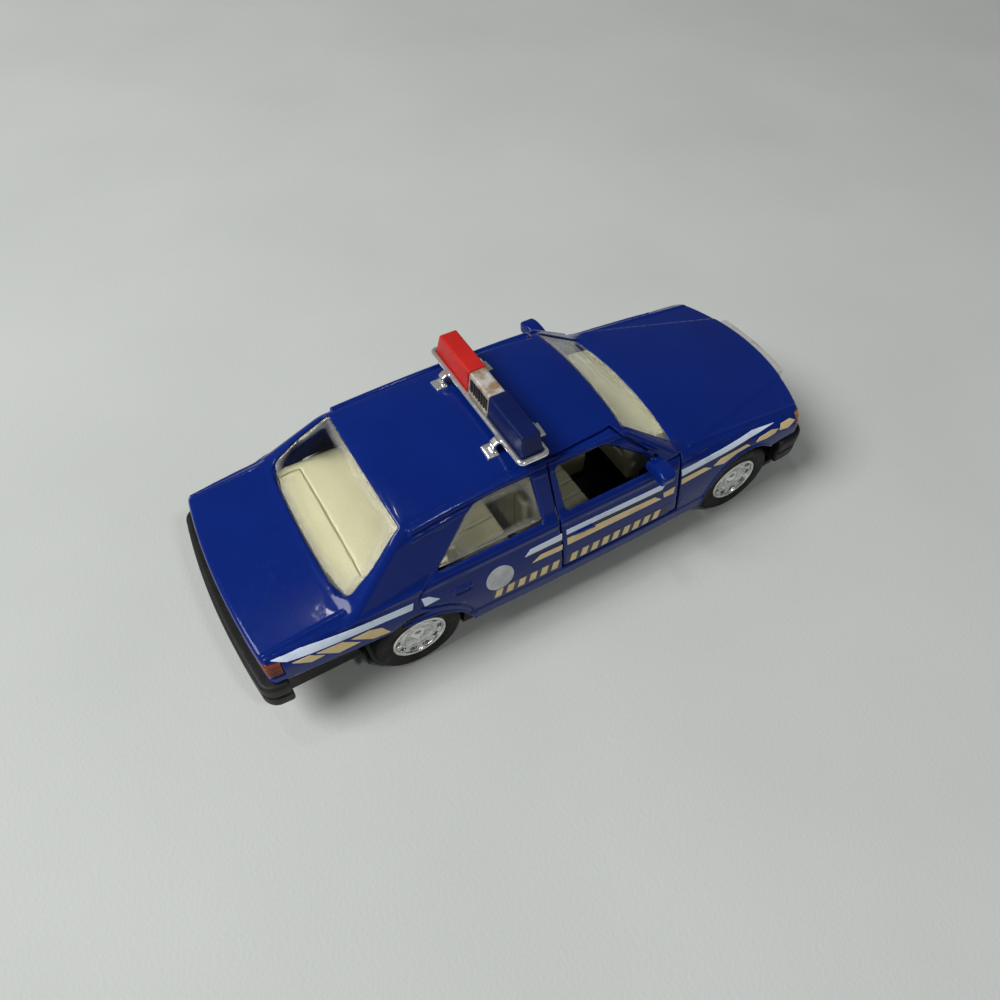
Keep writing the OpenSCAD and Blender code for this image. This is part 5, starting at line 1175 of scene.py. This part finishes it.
def film(name, shapes, thickness, side, coat, body):
    """Closed films of the given outlines, cut into small cells and pressed onto one flank."""
    shaped = bmesh.new()
    for corners in shapes:
        shaped.faces.new([shaped.verts.new((x, 0, z)) for x, z in corners])
    bmesh.ops.triangulate(shaped, faces=shaped.faces[:])
    for axis in (0, 2):
        across = [float(i == axis) for i in range(3)]
        places = [vert.co[axis] for vert in shaped.verts]
        for at in range(math.ceil(min(places)), math.ceil(max(places))):
            parts = shaped.verts[:] + shaped.edges[:] + shaped.faces[:]
            on_plane = [at * share for share in across]
            bmesh.ops.bisect_plane(shaped, geom=parts, plane_co=on_plane, plane_no=across)
    shaped.verts.index_update()
    flat = np.array([vert.co for vert in shaped.verts], np.float64)
    faces = [[vert.index for vert in face.verts] for face in shaped.faces]
    rims = [edge.link_loops[0] for edge in shaped.edges if len(edge.link_faces) == 1]
    rims = [(loop.vert.index, loop.link_loop_next.vert.index) for loop in rims]
    shaped.free()
    layers = []
    for height in (thickness, -FILM_SUNK):
        out_y = np.full(len(flat), FILM_START_Y)
        for _ in range(FILM_TURNS):
            here = outer_skin(flat[:, 0], out_y, flat[:, 2])
            rise = (outer_skin(flat[:, 0], out_y + FILM_NUDGE, flat[:, 2]) - here) / FILM_NUDGE
            out_y = out_y - (here - height) / rise
        layers.append(np.stack([flat[:, 0], side * out_y, flat[:, 2]], axis=1))
    count = len(flat)
    under_side = [[i + count for i in face[::-1]] for face in faces]
    walls = [(b, a, a + count, b + count) for a, b in rims]
    points = (np.concatenate(layers) * MM).tolist()
    return dressed(closed(name, points, faces + under_side + walls), coat, body)


stripe_film = mottled("stripe_film", (330, 0.52, 0.72), (0.7, 0.79, 0.94), (0.54, 0.63, 0.81),
                      (500, 0.3, 0.45))
tan_film = mottled("tan_film", (300, 0.45, 0.75), (0.8, 0.62, 0.31), (0.66, 0.5, 0.24),
                   (500, 0.35, 0.5))
dull_film = mottled("dull_film", (140, 0.35, 0.7), (0.014, 0.022, 0.085), (0.024, 0.036, 0.11),
                    (500, 0.4, 0.55))
line_film = mottled("line_film", (300, 0.35, 0.7), (0.0015, 0.003, 0.016), (0.003, 0.006, 0.03),
                    (500, 0.35, 0.5))
disc_film = mottled("disc_film", (420, 0.4, 0.65), (0.6, 0.62, 0.64), (0.45, 0.44, 0.47),
                    (500, 0.3, 0.45))
FILMS = [("dull_film", dull_film, 0.04, BODY_DULL, DOOR_DULL),
         ("stripe_film", stripe_film, 0.07, BODY_STRIPES, DOOR_STRIPES),
         ("tan_film", tan_film, 0.07, BODY_BARS + mark_row(-18.6, 6), DOOR_BARS + mark_row(-1.8, 9)),
         ("line_film", line_film, 0.06, BODY_LINES, DOOR_LINES)]
turns = np.linspace(0, 2 * np.pi, DISC_STEPS + 1)[:-1]
disc = [(DISC_AT[0] + DISC_R * math.cos(t), DISC_AT[1] + DISC_R * math.sin(t)) for t in turns]
for hand, side in SIDES:
    for label, coat, thickness, on_body, on_door in FILMS:
        film(f"{label}_body_{hand}", on_body, thickness, side, coat, "car")
        film(f"{label}_door_{hand}", on_door, thickness, side, coat, hand + "_door")
    film(f"disc_film_{hand}", [disc], 0.07, side, disc_film, "car")


# Stage: a pale floor, a broad soft lamp high behind the car, a small one on the near side and a tiny one
# overhead, and the camera at the photograph's place.
FLOOR_SIZE, LENS_MM, SENSOR_MM = 3.0, 28.26, 36.0
EYE = Vector((-58.54, -86.33, 140.56)) * MM
AHEAD, RIGHT = Vector((0.3263, 0.5120, -0.7946)), Vector((0.8603, -0.5092, 0.0252))
DOWN = Vector((-0.3917, -0.6918, -0.6066))
floor_mesh = bpy.data.meshes.new("floor")
reach = FLOOR_SIZE / 2
floor_corners = [(-reach, -reach, 0), (reach, -reach, 0), (reach, reach, 0), (-reach, reach, 0)]
floor_mesh.from_pydata(floor_corners, [], [(0, 1, 2, 3)])
floor = shown("floor", floor_mesh)
floor_cloth = finish("floor_cloth", {
    "Base Color": tint(grain(14, 0.35, 0.7), (0.59, 0.61, 0.58), (0.55, 0.57, 0.54)),
    "Roughness": 0.9,
    "Specular IOR Level": 0.1,
    "Normal": dents(grain(1500, 0.3, 0.7), 0.15, 0.0002)})
floor_mesh.materials.append(floor_cloth)


def soft_lamp(name, towards, distance, size, power):
    lamp = bpy.data.lights.new(name, "AREA")
    lamp.shape, lamp.size, lamp.energy = "DISK", size, power
    made = shown(name, lamp)
    made.location = Vector(towards).normalized() * distance
    made.rotation_euler = Vector(towards).to_track_quat("Z", "Y").to_euler()


soft_lamp("high_lamp", (-0.62, 0.12, 0.77), 0.95, 0.5, 8.0)
soft_lamp("near_lamp", (0.12, -0.55, 0.82), 1.0, 0.1, 1.3)
soft_lamp("small_lamp", (-0.15, 0.26, 0.95), 1.0, 0.06, 0.4)
world = bpy.data.worlds.new("room")
world.use_nodes = True
sky = world.node_tree.nodes["Background"].inputs
sky["Color"].default_value = (0.93, 0.97, 1.0, 1.0)
sky["Strength"].default_value = 0.12
bpy.context.scene.world = world
bpy.context.scene.view_settings.view_transform = "Standard"
lens_data = bpy.data.cameras.new("camera")
lens_data.sensor_width, lens_data.lens = SENSOR_MM, LENS_MM
camera = shown("camera", lens_data)
camera.matrix_world = Matrix([[RIGHT[i], -DOWN[i], -AHEAD[i], EYE[i]] for i in range(3)] + [[0, 0, 0, 1]])
bpy.context.scene.camera = camera
